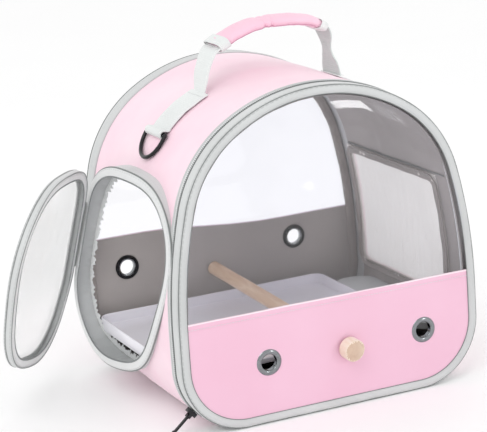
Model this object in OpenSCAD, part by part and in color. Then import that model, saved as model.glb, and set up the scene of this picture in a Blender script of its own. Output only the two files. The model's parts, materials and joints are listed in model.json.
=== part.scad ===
// Bird travel carrier: a soft arch-shaped bag with a round side door, a clear
// front, a mesh side window, a perch that is screwed in at both ends and a tray.
// Frame: origin at the middle of the floor, front towards -Y, +Z up, millimetres.

/* [Body] */
// Width across the front
body_w = 360; // [356:1:364]
// Height from the floor to the crown
body_h = 360; // [356:1:364]
// Depth from the front panel to the rear panel
body_d = 288; // [286:1:292]
// Radius of the two lower corners
corner_r = 74; // [73:1:75]
// Distance below the crown at which the side walls start to lean in
lean_drop = 250; // [248:1:252]
// Radius of the leaning part of the side walls
side_r = 560; // [550:5:570]
// Lean at the top of the side walls, in degrees
side_lean = 14; // [13.5:0.5:14.5]
// Radius of the shoulders
shoulder_r = 140; // [138:1:142]

/* [Cloth] */
// Thickness of the outer cover
cover_t = 2; // [1.6:0.1:2.2]
// Thickness of the inner lining
lining_t = 1.4; // [1:0.1:1.5]
// Clearance between neighbouring layers
layer_gap = 0.3; // [0.2:0.05:0.4]
// Depth of each end in front of or behind the outer cover
end_d = 26; // [25:0.5:28]
// Depth of the zip tape in front of the cover
tape_d = 7.4; // [6.4:0.2:7.6]
// Clearance between the zip tape and the front panel's side band
zip_gap = 0.9; // [0.7:0.1:1.2]
// Thickness of the side bands of the front and rear panels
gusset_t = 2.4; // [2:0.1:2.6]
// Height that the zip teeth and the piping stand above the cloth
ridge_h = 1; // [0.6:0.1:1.4]
// Width of one row of zip teeth
teeth_w = 2; // [1.6:0.1:2.4]

/* [Front and rear panels] */
// Top of the cloth part of the front panel
front_panel_z = 126; // [120:1:130]
// Top of the cloth part of the rear panel
rear_panel_z = 152; // [146:1:156]
// Thickness of the cloth part of a panel
panel_t = 2.4; // [2:0.1:2.8]
// Thickness of the clear sheet and of a panel's lining
sheet_t = 0.8; // [0.5:0.1:1]
// Overlap of the clear sheet behind the cloth part
sheet_lap = 8; // [6:1:10]
// Width of the outer binding
binding_w = 9; // [8:0.5:10]
// Thickness of the binding
binding_t = 1.4; // [1:0.1:1.6]
// Width of the binding on the inside
inner_binding_w = 16; // [14:0.5:18]
// Width of the spring-steel hoop
hoop_w = 3; // [2:0.5:4]
// Thickness of the spring-steel hoop
hoop_t = 1.2; // [0.8:0.1:1.4]
// Room beside the sill that the front panel folds down on
sill_room = 0.3; // [0.2:0.1:2]

/* [Eyelets] */
// Bore radius of an eyelet
eyelet_r = 9; // [8.5:0.5:9.5]
// Outer radius of an eyelet's flange
eyelet_flange_r = 15; // [14.5:0.5:16]
// Wall of an eyelet's barrel
eyelet_wall = 1.8; // [1.5:0.1:2]
// Height of the domed flange
eyelet_dome = 2; // [1.6:0.1:2.4]
// Clearance between an eyelet's barrel and the cloth
eyelet_gap = 0.5; // [0.3:0.1:0.7]
// Thickness of the washer behind an eyelet
washer_t = 1.6; // [1.2:0.1:2]
// Distance of the front eyelets from the perch knob
front_eyelet_dx = 95; // [92:1:98]
// Height of the front eyelets
front_eyelet_z = 68; // [66:1:72]
// Distance of the rear eyelets from the perch knob
rear_eyelet_dx = 110; // [106:1:114]
// Height of the rear eyelets
rear_eyelet_z = 118; // [114:1:122]

/* [Perch] */
// Position of the perch across the front panel
perch_front_x = 16; // [14:1:18]
// Height of the perch at the front panel
perch_front_z = 67; // [66.8:0.1:68]
// Position of the perch across the rear panel
perch_rear_x = -17; // [-19:1:-15]
// Height of the perch at the rear panel
perch_rear_z = 98; // [97:0.5:100]
// Radius of the perch
perch_r = 8; // [7.5:0.1:8.1]
// Radius of a perch knob
knob_r = 12.5; // [12:0.5:13]
// Thickness of a perch knob
knob_t = 14.5; // [13:0.5:16]
// Radius of the bolt in a perch knob
bolt_r = 2.5; // [2:0.1:2.6]
// Room around the front bolt in the perch, for the swinging panel
bolt_room = 2.3; // [2.2:0.1:2.5]
// Length of bolt inside the perch
bolt_reach = 4; // [3.5:0.5:4.5]

/* [Tray] */
// Distance of the tray from the front of the body
tray_front_d = 32; // [30:1:34]
// Distance of the tray from the rear of the body
tray_rear_d = 16; // [14:1:20]
// Underside of the tray
tray_z = 55.5; // [55.4:0.1:56]
// Thickness of the tray's floor and walls
tray_t = 2.5; // [2:0.1:2.8]
// Height of the front lip above the underside
tray_lip = 6; // [5.5:0.1:6]
// Height of the other rims above the underside
tray_rim = 14.5; // [13:0.5:16]
// Distance of the tray from the right side of the body
tray_right_d = 60.5; // [59:0.5:63]
// Corner radius of the tray
tray_corner_r = 14; // [12:1:16]
// Clearance between the tray and the walls
tray_gap = 0.3; // [0.2:0.1:0.5]
// Height of the cloth pad at the right of the tray
side_pad_h = 10.5; // [9:0.5:12]
// Distance of the cloth pad from the rear of the body
side_pad_rear_d = 40; // [38:1:44]
// Corner radius of the cloth pad
side_pad_r = 20; // [18:1:22]
// Thickness of the board in the base
board_t = 3; // [2.5:0.5:4]

/* [Side door] */
// Distance of the door rim from the side of the body
ring_out = 9.5; // [9:0.5:10.5]
// Turn of the door rim about the vertical, in degrees
ring_turn = 3; // [2.5:0.5:3.5]
// Thickness of the round band under the door
ring_t = 3; // [2.6:0.1:3.2]
// Width of the zip tape on the rim
ring_tape_w = 9; // [8.5:0.5:9.5]
// Depth of the door's own band
door_d = 9.5; // [8.5:0.5:10]
// Clearance between the closed door and its rim
door_gap = 0.9; // [0.7:0.1:1.2]
// Width of the cloth hinge
hinge_tape_w = 9; // [8:0.5:10]
// Thickness of the cloth hinge
hinge_tape_t = 1; // [0.8:0.1:1.2]
// How far the door stands open, in degrees
door_open = 42; // [38:1:46]

/* [Mesh window] */
// Front edge of the mesh window
mesh_y0 = -66; // [-70:1:-62]
// Rear edge of the mesh window
mesh_y1 = 104; // [100:1:106]
// Lower edge of the mesh window
mesh_z0 = 96; // [94:1:98]
// Upper edge of the mesh window
mesh_z1 = 212; // [208:1:216]
// Overlap of the mesh behind the cloth
mesh_lap = 8; // [6:1:10]
// Number of mesh holes along the window
mesh_columns = 14; // [10:1:16]
// Number of mesh holes up the window
mesh_rows = 9; // [6:1:12]
// Width of the strands between mesh holes
mesh_strand = 2.4; // [2:0.1:3]

/* [Handle] */
// Middle of the handle along the depth
handle_y = -12; // [-14:1:-8]
// Distance of the handle's feet from the middle
foot_x = 81; // [80:0.5:82]
// Width of the webbing
webbing_w = 44; // [40:1:46]
// Thickness of the webbing
webbing_t = 1.8; // [1.4:0.1:2]
// Width of the webbing inside the grip
core_w = 24; // [20:1:26]
// Half of the width of the padded grip
grip_half_w = 20; // [18:0.5:22]
// Half of the thickness of the padded grip
grip_half_t = 7.5; // [6.5:0.5:8.5]
// Length of a stitched keeper
keeper_l = 8; // [7:0.5:9]
// Clearance under the handle's feet
foot_gap = 0.5; // [0.3:0.1:0.8]

/* [D-rings] */
// Direction of the D-ring bar from the shoulder's centre, in degrees
d_ring_a = 41.8; // [40:0.2:43]
// Radius of the D-ring's wire
wire_r = 2.25; // [2:0.05:2.4]
// Inner width of the D-ring
d_ring_in = 46; // [45.5:0.5:48]
// Straight part of the D-ring's sides
d_ring_side = 5; // [4:0.5:7]
// Turn of the D-ring towards the cloth, in degrees
d_ring_lean = 8; // [5:0.5:8]

/* [Zip pulls] */
// Length of the side door's zip pull
door_pull_l = 29; // [26:0.5:32]
// Length of the front zip pull
front_pull_l = 25; // [22:0.5:26]

/* [Hidden] */
$fn = 48;

side_top = body_h - lean_drop;
cover_half = body_d / 2 - end_d;
front_y = -body_d / 2;
rear_y = body_d / 2;
tape_y = -cover_half - tape_d;
cap_y = tape_y - zip_gap;
wall_t = cover_t + layer_gap + lining_t;
panel_inset = gusset_t + layer_gap;
sheet_y = front_y + panel_t;
inner_y = sheet_y + sheet_t;

// The arch: corner, leaning side, shoulder and crown are tangent arcs.
corner_c = [body_w / 2 - corner_r, corner_r];
sill_half = corner_c.x - sill_room;
tray_front_y = tray_front_d - body_d / 2;
tray_rear_y = body_d / 2 - tray_rear_d;
tray_right_x = body_w / 2 - tray_right_d;
side_c = [body_w / 2 - side_r, side_top];
shoulder_c = side_c + (side_r - shoulder_r) * [cos(side_lean), sin(side_lean)];
crown_q = (body_h - shoulder_c.y - shoulder_r) / shoulder_c.x;
crown_a = 90 - 2 * atan(crown_q);
crown_r = shoulder_r + shoulder_c.x / cos(crown_a);
crown_c = [0, body_h - crown_r];

pink = [0.98, 0.82, 0.89];
grey = [0.78, 0.8, 0.8];
pale = [0.9, 0.91, 0.91];
dark = [0.5, 0.49, 0.49];
clear = [0.93, 0.94, 0.97, 0.3];
steel = [0.8, 0.81, 0.83];
black = [0.1, 0.1, 0.11];
timber = [0.84, 0.71, 0.6];

module sector(c, r, a0, a1, steps) {
    far = 2 * r;
    am = (a0 + a1) / 2;
    intersection() {
        translate(c) circle(r = r, $fn = steps);
        polygon([c, c + far * [cos(a0), sin(a0)], c + far * [cos(am), sin(am)],
                 c + far * [cos(a1), sin(a1)]]);
    }
}

module half_outline(inset) {
    intersection() {
        translate([-1, -5]) square([body_w, body_h + 10]);
        union() {
            sector(corner_c, corner_r - inset, -90, 0, 72);
            sector(side_c, side_r - inset, 0, side_lean, 216);
            sector(shoulder_c, shoulder_r - inset, side_lean - 4, crown_a + 4, 108);
            sector(crown_c, crown_r - inset, crown_a, 92, 120);
            translate(shoulder_c - [20, 20]) square(40);
            polygon([[-1, inset], [corner_c.x, inset], corner_c,
                     [body_w / 2 - inset, corner_r], [body_w / 2 - inset, side_top],
                     [-1, side_top]]);
        }
    }
}

module outline(inset) {
    half_outline(inset);
    mirror([1, 0]) half_outline(inset);
}

module slab(y0, y1, inset) {
    translate([0, y1, 0]) rotate([90, 0, 0]) linear_extrude(y1 - y0) outline(inset);
}

module band(y0, y1, outer, inner) {
    difference() {
        slab(y0, y1, outer);
        slab(y0 - 1, y1 + 1, inner);
    }
}

module above(z) {
    translate([-body_w, -body_d, z]) cube([2 * body_w, 2 * body_d, 2 * body_h]);
}

module below(z) {
    translate([-body_w, -body_d, z - 2 * body_h]) cube([2 * body_w, 2 * body_d, 2 * body_h]);
}

module at_rear() {
    mirror([0, 1, 0]) children();
}

// ---- side door rim: the hull of four circles in the rim's own plane ----
ring_c = [[0, 124], [58, 199], [-28, 187], [-68, 106]];
ring_r = [78, 65, 77, 71];

function leg(i) = ring_c[(i + 1) % 4] - ring_c[i];
function leg_a(i) = atan2(leg(i).y, leg(i).x);
function turn(i) = asin((ring_r[i] - ring_r[(i + 1) % 4]) / norm(leg(i)));
function out_a(i) = leg_a(i) - 90 + turn(i);
function out(i) = [cos(out_a(i)), sin(out_a(i))];
function touch(i, k, inset) = ring_c[k] + (ring_r[k] - inset) * out(i);

function wrap(a, b) = b < a ? wrap(a, b + 360) : b;
function arc_a0(k) = out_a((k + 3) % 4);
function arc_a1(k) = wrap(arc_a0(k), out_a(k));
function arc_n(k) = ceil((arc_a1(k) - arc_a0(k)) / 5);

module ring_shape(inset) {
    polygon([for (k = [0:3]) for (s = [0:arc_n(k)])
        let (a = arc_a0(k) + (arc_a1(k) - arc_a0(k)) * s / arc_n(k))
            ring_c[k] + (ring_r[k] - inset) * [cos(a), sin(a)]]);
}

module door_frame() {
    translate([-(body_w / 2 + ring_out), 0, 0]) rotate([0, 0, 180 + ring_turn]) children();
}

module ring_slab(u0, u1, inset) {
    door_frame() translate([u0, 0, 0]) rotate([90, 0, 90])
        linear_extrude(u1 - u0) ring_shape(inset);
}

module ring_band(u0, u1, outer, inner) {
    difference() {
        ring_slab(u0, u1, outer);
        ring_slab(u0 - 1, u1 + 1, inner);
    }
}

// The hinge is the straight rear side of the rim.
hinge_u = 0.3;
hinge_low = touch(2, 3, 0);
hinge_top = touch(2, 2, 0);

module door_leaf() {
    door_frame() translate([hinge_u, hinge_low.x, hinge_low.y])
        rotate(a = -door_open, v = [0, hinge_top.x - hinge_low.x, hinge_top.y - hinge_low.y])
        translate([-hinge_u, -hinge_low.x, -hinge_low.y]) door_unframe() children();
}

module door_unframe() {
    rotate([0, 0, -180 - ring_turn]) translate([body_w / 2 + ring_out, 0, 0]) children();
}

// ---- perch line, from the front knob to the rear knob ----
perch_from = [perch_front_x, front_y, perch_front_z];
perch_to = [perch_rear_x, rear_y, perch_rear_z];
perch_run = perch_to - perch_from;
perch_l = norm(perch_run);
perch_tilt = acos(perch_run.z / perch_l);
perch_turn = atan2(perch_run.y, perch_run.x);
skew = tan(acos(perch_run.y / perch_l));
knob_seat = knob_r * skew + 0.35;
perch_start = (panel_t + sheet_t + perch_r * skew) + 0.6;
perch_end = perch_l - (panel_t + sheet_t + perch_r * skew) - 0.3;
hole_deep = 2.3;

module perch_frame() {
    translate(perch_from) rotate([0, perch_tilt, perch_turn]) children();
}

module perch_hole() {
    perch_frame() translate([0, 0, -12]) cylinder(r = bolt_r + 0.7, h = perch_l + 24);
}

// ---- eyelets ----
front_eyelet_x = [perch_front_x - front_eyelet_dx, perch_front_x + front_eyelet_dx];
rear_eyelet_x = [perch_rear_x - rear_eyelet_dx, perch_rear_x + rear_eyelet_dx];
barrel_r = eyelet_r + eyelet_wall;
cloth_hole_r = barrel_r + eyelet_gap;
stack_t = panel_t + sheet_t;

module at_front_eyelets() {
    for (x = front_eyelet_x) translate([x, front_y, front_eyelet_z]) rotate([90, 0, 0]) children();
}

module at_rear_eyelets() {
    for (x = rear_eyelet_x) translate([x, rear_y, rear_eyelet_z]) rotate([-90, 0, 0]) children();
}

module eyelet_holes() {
    at_front_eyelets() translate([0, 0, -20]) cylinder(r = cloth_hole_r, h = 40);
    at_rear_eyelets() translate([0, 0, -20]) cylinder(r = cloth_hole_r, h = 40);
}

module eyelet() {
    tail = -stack_t - washer_t + 0.4;
    rotate_extrude() polygon([[eyelet_r, tail], [barrel_r, tail], [barrel_r, 0],
        [eyelet_flange_r, 0], [eyelet_flange_r, 0.4 * eyelet_dome],
        [eyelet_flange_r - 1.4, 0.85 * eyelet_dome], [eyelet_flange_r - 3, eyelet_dome],
        [eyelet_r + 1.4, 0.85 * eyelet_dome], [eyelet_r, 0.4 * eyelet_dome]]);
}

module washer() {
    translate([0, 0, -stack_t - washer_t]) difference() {
        cylinder(r = eyelet_flange_r - 0.5, h = washer_t);
        translate([0, 0, -1]) cylinder(r = barrel_r + layer_gap, h = washer_t + 2);
    }
}

// ---- body cloth ----
module mesh_cut(margin) {
    w = mesh_y1 - mesh_y0 + 2 * margin;
    h = mesh_z1 - mesh_z0 + 2 * margin;
    r = 10;
    translate([body_w / 4, mesh_y0 - margin, mesh_z0 - margin]) rotate([90, 0, 90])
        linear_extrude(body_w / 3) {
            translate([r, 0]) square([w - 2 * r, h]);
            translate([0, r]) square([w, h - 2 * r]);
            for (x = [r, w - r]) for (y = [r, h - r]) translate([x, y]) circle(r = r);
        }
}

module door_way() {
    ring_slab(-60, 5, ring_t + layer_gap);
}

module shell_cover() {
    color(pink) difference() {
        band(-cover_half, cover_half, 0, cover_t);
        door_way();
        mesh_cut(0);
    }
}

module shell_lining() {
    color(dark) difference() {
        band(-cover_half, cover_half, cover_t + layer_gap, wall_t);
        door_way();
        mesh_cut(0);
    }
}

module floor_board() {
    half = corner_c.x - 2;
    color(dark) translate([-half, 1 - cover_half, wall_t])
        cube([2 * half, 2 * cover_half - 2, board_t]);
}

module front_zip_tape() {
    color(grey) difference() {
        band(tape_y, -cover_half, 0, wall_t);
        door_way();
    }
}

module ridge(y0, y1, z) {
    intersection() {
        band(y0, y1, -layer_gap - ridge_h, -layer_gap);
        above(z);
    }
}

module front_piping() {
    color(dark) difference() {
        ridge(-cover_half - 2.8, -cover_half - 0.4, 16);
        ring_slab(-60, 5, -layer_gap);
    }
}

module front_zip_teeth() {
    color(dark) ridge(tape_y - 0.5, tape_y - 0.5 + teeth_w, 16);
}

module front_sill() {
    color(grey) translate([-sill_half, front_y + 1.7, 0])
        cube([2 * sill_half, tape_y - front_y - 1.7, cover_t]);
}

module rear_gusset() {
    color(pale) difference() {
        band(cover_half, rear_y, 0, gusset_t);
        door_way();
    }
}

module rear_piping() {
    color(dark) difference() {
        ridge(cover_half + 1, cover_half + 3.4, 16);
        ring_slab(-60, 5, -layer_gap);
    }
}

module rear_binding() {
    color(grey) band(rear_y, rear_y + binding_t, 0, binding_w);
}

module panel_cloth(z) {
    difference() {
        intersection() {
            slab(front_y, sheet_y, panel_inset);
            below(z);
        }
        children();
    }
}

module panel_back(z) {
    difference() {
        intersection() {
            slab(sheet_y, inner_y, panel_inset);
            below(z - sheet_lap - 0.3);
        }
        children();
    }
}

module panel_window(z) {
    intersection() {
        slab(sheet_y, inner_y, panel_inset);
        above(z - sheet_lap);
    }
}

module panel_inside() {
    band(inner_y, inner_y + 1, panel_inset, inner_binding_w);
}

module panel_hoop() {
    band(inner_y + 1, inner_y + 1 + hoop_w, panel_inset, panel_inset + hoop_t);
}

module rear_panel() {
    color(pink) difference() {
        at_rear() panel_cloth(rear_panel_z);
        eyelet_holes();
        perch_hole();
    }
}

module rear_lining() {
    color(dark) difference() {
        at_rear() panel_back(rear_panel_z);
        eyelet_holes();
        perch_hole();
    }
}

module rear_window() {
    color(clear) at_rear() panel_window(rear_panel_z);
}

module rear_inner_binding() {
    color(grey) at_rear() panel_inside();
}

module rear_hoop() {
    color(steel) at_rear() panel_hoop();
}

module rear_eyelets() {
    color(steel) at_rear_eyelets() eyelet();
}

module rear_washers() {
    color(steel) at_rear_eyelets() washer();
}

// ---- side door rim on the body ----
rim_t = 1.4;

module door_rim() {
    color(pale) difference() {
        ring_band(-45, -rim_t, 0, ring_t);
        slab(front_y, rear_y, -layer_gap);
    }
}

module door_rim_tape() {
    color(grey) ring_band(-rim_t, 0, 0, ring_tape_w);
}

module door_rim_teeth() {
    color(dark) ring_band(-rim_t, 0.6, ring_tape_w + layer_gap, ring_tape_w + 1.6);
}

module door_rim_lining() {
    color(pale) difference() {
        ring_band(-45, -rim_t - layer_gap, ring_t + 0.6, ring_t + 2);
        slab(front_y, rear_y, wall_t + 0.1);
    }
}

module door_hinge_tape() {
    span = norm(hinge_top - hinge_low);
    color(grey) door_frame() translate([0, hinge_low.x, hinge_low.y]) rotate([out_a(2), 0, 0])
        translate([-5 - hinge_tape_w, layer_gap, -span])
        cube([hinge_tape_w, hinge_tape_t, span]);
}

// ---- mesh window in the right wall ----
module side_mesh() {
    w = mesh_y1 - mesh_y0;
    h = mesh_z1 - mesh_z0;
    dx = (w - mesh_strand) / mesh_columns;
    dz = (h - mesh_strand) / mesh_rows;
    color(pale) difference() {
        intersection() {
            band(mesh_y0 - mesh_lap, mesh_y1 + mesh_lap, wall_t + layer_gap,
                 wall_t + layer_gap + 0.7);
            mesh_cut(mesh_lap);
        }
        for (i = [0:mesh_columns - 1]) for (j = [0:mesh_rows - 1])
            translate([body_w / 4, mesh_y0 + mesh_strand + i * dx, mesh_z0 + mesh_strand + j * dz])
                cube([body_w / 3, dx - mesh_strand, dz - mesh_strand]);
    }
}

module mesh_hem() {
    deep = wall_t + layer_gap + 0.7 + layer_gap;
    color(grey) difference() {
        intersection() {
            band(mesh_y0 - mesh_lap, mesh_y1 + mesh_lap, deep, deep + 1.2);
            mesh_cut(mesh_lap);
        }
        mesh_cut(0);
    }
}

// ---- tray, pad and perch ----
inner_corner = corner_r - wall_t;
tray_half = corner_c.x + sqrt(pow(inner_corner, 2) - pow(corner_r - tray_z, 2)) - tray_gap;

module rounded(x0, x1, y0, y1, r) {
    translate([x0 + r, y0]) square([x1 - x0 - 2 * r, y1 - y0]);
    translate([x0, y0 + r]) square([x1 - x0, y1 - y0 - 2 * r]);
    for (x = [x0 + r, x1 - r]) for (y = [y0 + r, y1 - r]) translate([x, y]) circle(r = r);
}

module tray() {
    color([0.73, 0.72, 0.76]) difference() {
        translate([0, 0, tray_z]) linear_extrude(tray_rim)
            rounded(-tray_half, tray_right_x, tray_front_y, tray_rear_y, tray_corner_r);
        translate([0, 0, tray_z + tray_t]) linear_extrude(tray_rim)
            rounded(tray_t - tray_half, tray_right_x - tray_t, tray_front_y + tray_t,
                    tray_rear_y - tray_t, tray_corner_r - tray_t);
        translate([-body_w, tray_front_y - 1, tray_z + tray_lip])
            cube([2 * body_w, tray_corner_r + 1, tray_rim]);
    }
}

module side_pad() {
    x0 = tray_right_x + tray_gap;
    color(grey) translate([0, 0, tray_z]) linear_extrude(side_pad_h)
        rounded(x0, tray_half, tray_front_y, body_d / 2 - side_pad_rear_d, side_pad_r);
}

module perch() {
    color(timber) difference() {
        perch_frame() translate([0, 0, perch_start]) cylinder(r = perch_r, h = perch_end - perch_start);
        perch_frame() translate([0, 0, perch_start - 1])
            cylinder(r = bolt_r + bolt_room, h = bolt_reach + 4);
        perch_frame() translate([0, 0, perch_end - bolt_reach - 3])
            cylinder(r = bolt_r + layer_gap, h = bolt_reach + 4);
    }
}

module knob() {
    e = 1.6;
    difference() {
        rotate_extrude() polygon([[0, 0], [knob_r - 0.6, 0], [knob_r, 0.6], [knob_r, knob_t - e],
            [knob_r - 0.5 * e, knob_t - 0.3 * e], [knob_r - 1.5 * e, knob_t], [0, knob_t]]);
        translate([0, 0, -1]) cylinder(r = bolt_r + layer_gap, h = 11);
    }
}

module knob_bolt(reach) {
    translate([0, 0, -reach]) cylinder(r = bolt_r, h = reach + 10);
}

module at_front_knob() {
    perch_frame() translate([0, 0, -knob_seat]) rotate([180, 0, 0]) children();
}

module at_rear_knob() {
    perch_frame() translate([0, 0, perch_l + knob_seat]) children();
}

module front_knob() {
    color(timber) at_front_knob() knob();
}

module front_bolt() {
    color(steel) at_front_knob() knob_bolt(knob_seat + perch_start + bolt_reach);
}

module rear_knob() {
    color(timber) at_rear_knob() knob();
}

module rear_bolt() {
    color(steel) at_rear_knob() knob_bolt(knob_seat + perch_l - perch_end + bolt_reach);
}

// ---- straps and D-rings ----
strap_lift = 0.4;
strap_t = 1.8;
loop_r = 4.2;
bar_out = strap_lift + loop_r + 0.4;
bar = [-(shoulder_c.x + (shoulder_r + bar_out) * cos(d_ring_a)),
       shoulder_c.y + (shoulder_r + bar_out) * sin(d_ring_a)];

module at_bar() {
    translate([bar.x, handle_y, bar.y]) rotate([0, 90 + d_ring_a - d_ring_lean, 0]) children();
}

module left_strap() {
    top_x = 1.5 - foot_x;
    color(pale) translate([0, handle_y + webbing_w / 2, 0]) rotate([90, 0, 0])
        linear_extrude(webbing_w) difference() {
            union() {
                intersection() {
                    difference() {
                        outline(-strap_lift - strap_t);
                        outline(-strap_lift);
                    }
                    translate([bar.x + 0.6, body_h / 2]) square([top_x - bar.x - 0.6, body_h]);
                }
                translate(bar) circle(r = loop_r);
            }
            translate(bar) circle(r = wire_r + 0.35);
        }
}

module right_strap() {
    mirror([1, 0, 0]) left_strap();
}

module d_ring() {
    half = d_ring_in / 2 + wire_r;
    rotate([90, 0, 0]) cylinder(r = wire_r, h = 2 * half, center = true);
    for (s = [-1, 1]) translate([0, s * half, 0]) {
        rotate([0, 90, 0]) cylinder(r = wire_r, h = d_ring_side);
        sphere(r = 1.05 * wire_r);
    }
    translate([d_ring_side, 0, 0]) rotate([0, 0, -90]) rotate_extrude(angle = 180)
        translate([half, 0]) circle(r = wire_r);
}

module left_d_ring() {
    color(black) at_bar() d_ring();
}

module right_d_ring() {
    mirror([1, 0, 0]) left_d_ring();
}

// ---- carrying handle ----
strap_top = crown_c.y + sqrt(pow(crown_r + strap_lift + strap_t, 2) - pow(foot_x - 1, 2));
foot_r = webbing_w / 2 + 0.6;
handle_z = strap_top + foot_gap + foot_r;
foot_z = handle_z - foot_r;
left_leg = [[-foot_x, foot_z - 2], [4 - foot_x, handle_z + 3], [13 - foot_x, handle_z + 21],
            [23 - foot_x, handle_z + 27]];
right_leg = [[foot_x + 1, foot_z - 2], [foot_x - 2, handle_z - 1], [foot_x - 5, handle_z + 19],
             [foot_x - 11, handle_z + 32]];
core = [left_leg[3], [-34, handle_z + 38], [2, handle_z + 46], [36, handle_z + 47],
        [58, handle_z + 41], right_leg[3]];

function side_n(points, i) = let (run = points[i + 1] - points[i]) [-run.y, run.x] / norm(run);
function mitre(points, i) =
    i == 0 ? side_n(points, 0) :
    i == len(points) - 1 ? side_n(points, i - 1) :
    let (a = side_n(points, i - 1), b = side_n(points, i)) (a + b) / (1 + a * b);

module ribbon(points, t, w) {
    m = len(points) - 1;
    translate([0, handle_y + w / 2, 0]) rotate([90, 0, 0]) linear_extrude(w)
        polygon(concat([for (i = [0:m]) points[i] + mitre(points, i) * t / 2],
                       [for (i = [m:-1:0]) points[i] - mitre(points, i) * t / 2]));
}

module foot_room() {
    translate([0, handle_y, handle_z]) {
        rotate([0, 90, 0]) cylinder(r = foot_r, h = 2 * body_w, center = true);
        translate([-body_w, -webbing_w, 0]) cube([2 * body_w, 2 * webbing_w, body_h]);
    }
}

module handle_webbing() {
    color(pale) {
        intersection() {
            union() {
                ribbon(left_leg, webbing_t, webbing_w);
                ribbon(right_leg, webbing_t, webbing_w);
            }
            foot_room();
        }
        ribbon(core, webbing_t, core_w);
    }
}

function along(a, b, s) = a + (b - a) * s / norm(b - a);
function dir_a(a, b) = atan2((b - a).y, (b - a).x);
grip_path = [along(core[0], core[1], 0.6), along(core[0], core[1], 4), core[1], core[2],
             core[3], core[4], along(core[5], core[4], 4), along(core[5], core[4], 0.6)];
grip_a = [dir_a(core[0], core[1]), dir_a(core[0], core[1]), dir_a(core[0], core[2]),
          dir_a(core[1], core[3]), dir_a(core[2], core[4]), dir_a(core[3], core[5]),
          dir_a(core[4], core[5]), dir_a(core[4], core[5])];
grip_k = [0.72, 0.95, 1, 1, 1, 1, 0.95, 0.72];
grip_n = 16;

module grip_form() {
    m = len(grip_path);
    points = [for (k = [0:m - 1]) for (j = [0:grip_n - 1])
        let (a = 360 * j / grip_n, t = grip_half_t * grip_k[k] * sin(a),
             w = (grip_half_w - 2 * (1 - grip_k[k])) * cos(a))
        [grip_path[k].x - t * sin(grip_a[k]), handle_y + w, grip_path[k].y + t * cos(grip_a[k])]];
    sides = [for (k = [0:m - 2]) for (j = [0:grip_n - 1])
        let (p = k * grip_n + j, q = k * grip_n + (j + 1) % grip_n)
        each [[p, q, p + grip_n], [q, q + grip_n, p + grip_n]]];
    first = [for (j = [grip_n - 1:-1:0]) j];
    last = [for (j = [0:grip_n - 1]) (m - 1) * grip_n + j];
    polyhedron(points, concat(sides, [first, last]));
}

module handle_grip() {
    color(pink) difference() {
        grip_form();
        ribbon(core, webbing_t + 0.6, core_w + 0.6);
    }
}

module keeper(a, b) {
    mid = (a + b) / 2;
    translate([mid.x, handle_y, mid.y]) rotate([0, -dir_a(a, b), 0]) difference() {
        cube([keeper_l, webbing_w + 4, webbing_t + 4], center = true);
        cube([keeper_l + 2, webbing_w + 0.6, webbing_t + 0.6], center = true);
    }
}

module handle_keepers() {
    color(pale) {
        keeper(left_leg[2], left_leg[3]);
        keeper(right_leg[2], right_leg[3]);
    }
}

// ---- front panel, swings down on the sill ----
module front_gusset() {
    color(pale) difference() {
        band(front_y, cap_y, 0, gusset_t);
        translate([-sill_half - layer_gap, front_y - 1, -1])
            cube([2 * (sill_half + layer_gap), body_d / 2, gusset_t + 1.5]);
    }
}

module front_binding() {
    color(grey) band(front_y - binding_t, front_y, 0, binding_w);
}

module front_panel() {
    color(pink) difference() {
        panel_cloth(front_panel_z);
        eyelet_holes();
        perch_hole();
    }
}

module front_lining() {
    color(dark) difference() {
        panel_back(front_panel_z);
        eyelet_holes();
        perch_hole();
    }
}

module front_window() {
    color(clear) panel_window(front_panel_z);
}

module front_inner_binding() {
    color(grey) panel_inside();
}

module front_hoop() {
    color(steel) panel_hoop();
}

module front_eyelets() {
    color(steel) at_front_eyelets() eyelet();
}

module front_washers() {
    color(steel) at_front_eyelets() washer();
}

module panel_teeth() {
    color(dark) ridge(cap_y - teeth_w, cap_y, 16);
}

// ---- side door leaf, drawn closed and swung open ----
module door_band() {
    color(pale) door_leaf() ring_band(door_gap, door_gap + door_d - 1.4, 0, gusset_t);
}

module door_tape() {
    color(grey) door_leaf() ring_band(door_gap, door_gap + 1.4, panel_inset, ring_tape_w);
}

module door_teeth() {
    color(dark) door_leaf() ring_band(door_gap, door_gap + 1.4, ring_tape_w + layer_gap,
                                      ring_tape_w + 1.6);
}

module door_window() {
    color(clear) door_leaf()
        ring_slab(door_gap + door_d - 1.4 - sheet_t, door_gap + door_d - 1.4, panel_inset);
}

module door_binding() {
    color(grey) door_leaf()
        ring_band(door_gap + door_d - 1.4, door_gap + door_d, 0, binding_w + 1);
}

// ---- zip sliders and pulls ----
pull_eye = 2.4;
pull_neck = 1.4;
pin_r = 1;
slider_h = 5;
slider_a = 220;

module at_front_slider() {
    translate([-corner_c.x, tape_y - 0.6, corner_c.y]) rotate([0, -slider_a, 0])
        translate([corner_r + layer_gap + ridge_h + 0.3, 0, 0]) children();
}

module front_slider() {
    color(black) at_front_slider() {
        translate([0, -4, -5.5]) cube([slider_h, 8, 11]);
        for (s = [-1, 1]) translate([slider_h - 0.1, s * 4 - (s + 1) * 0.6, -1.6])
            cube([4.6, 1.2, 3.2]);
        translate([slider_h + 2.8, 0, 0]) rotate([90, 0, 0])
            cylinder(r = pin_r, h = 7, center = true);
    }
}

module pull_plate(l, w) {
    difference() {
        union() {
            circle(r = pull_eye);
            translate([l - w / 2, 0]) circle(r = w / 2);
            polygon([[0, -pull_neck], [9, -pull_neck], [l - w / 2, -w / 2],
                     [l - w / 2, w / 2], [9, pull_neck], [0, pull_neck]]);
        }
        circle(r = pin_r + 0.35);
    }
}

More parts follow.
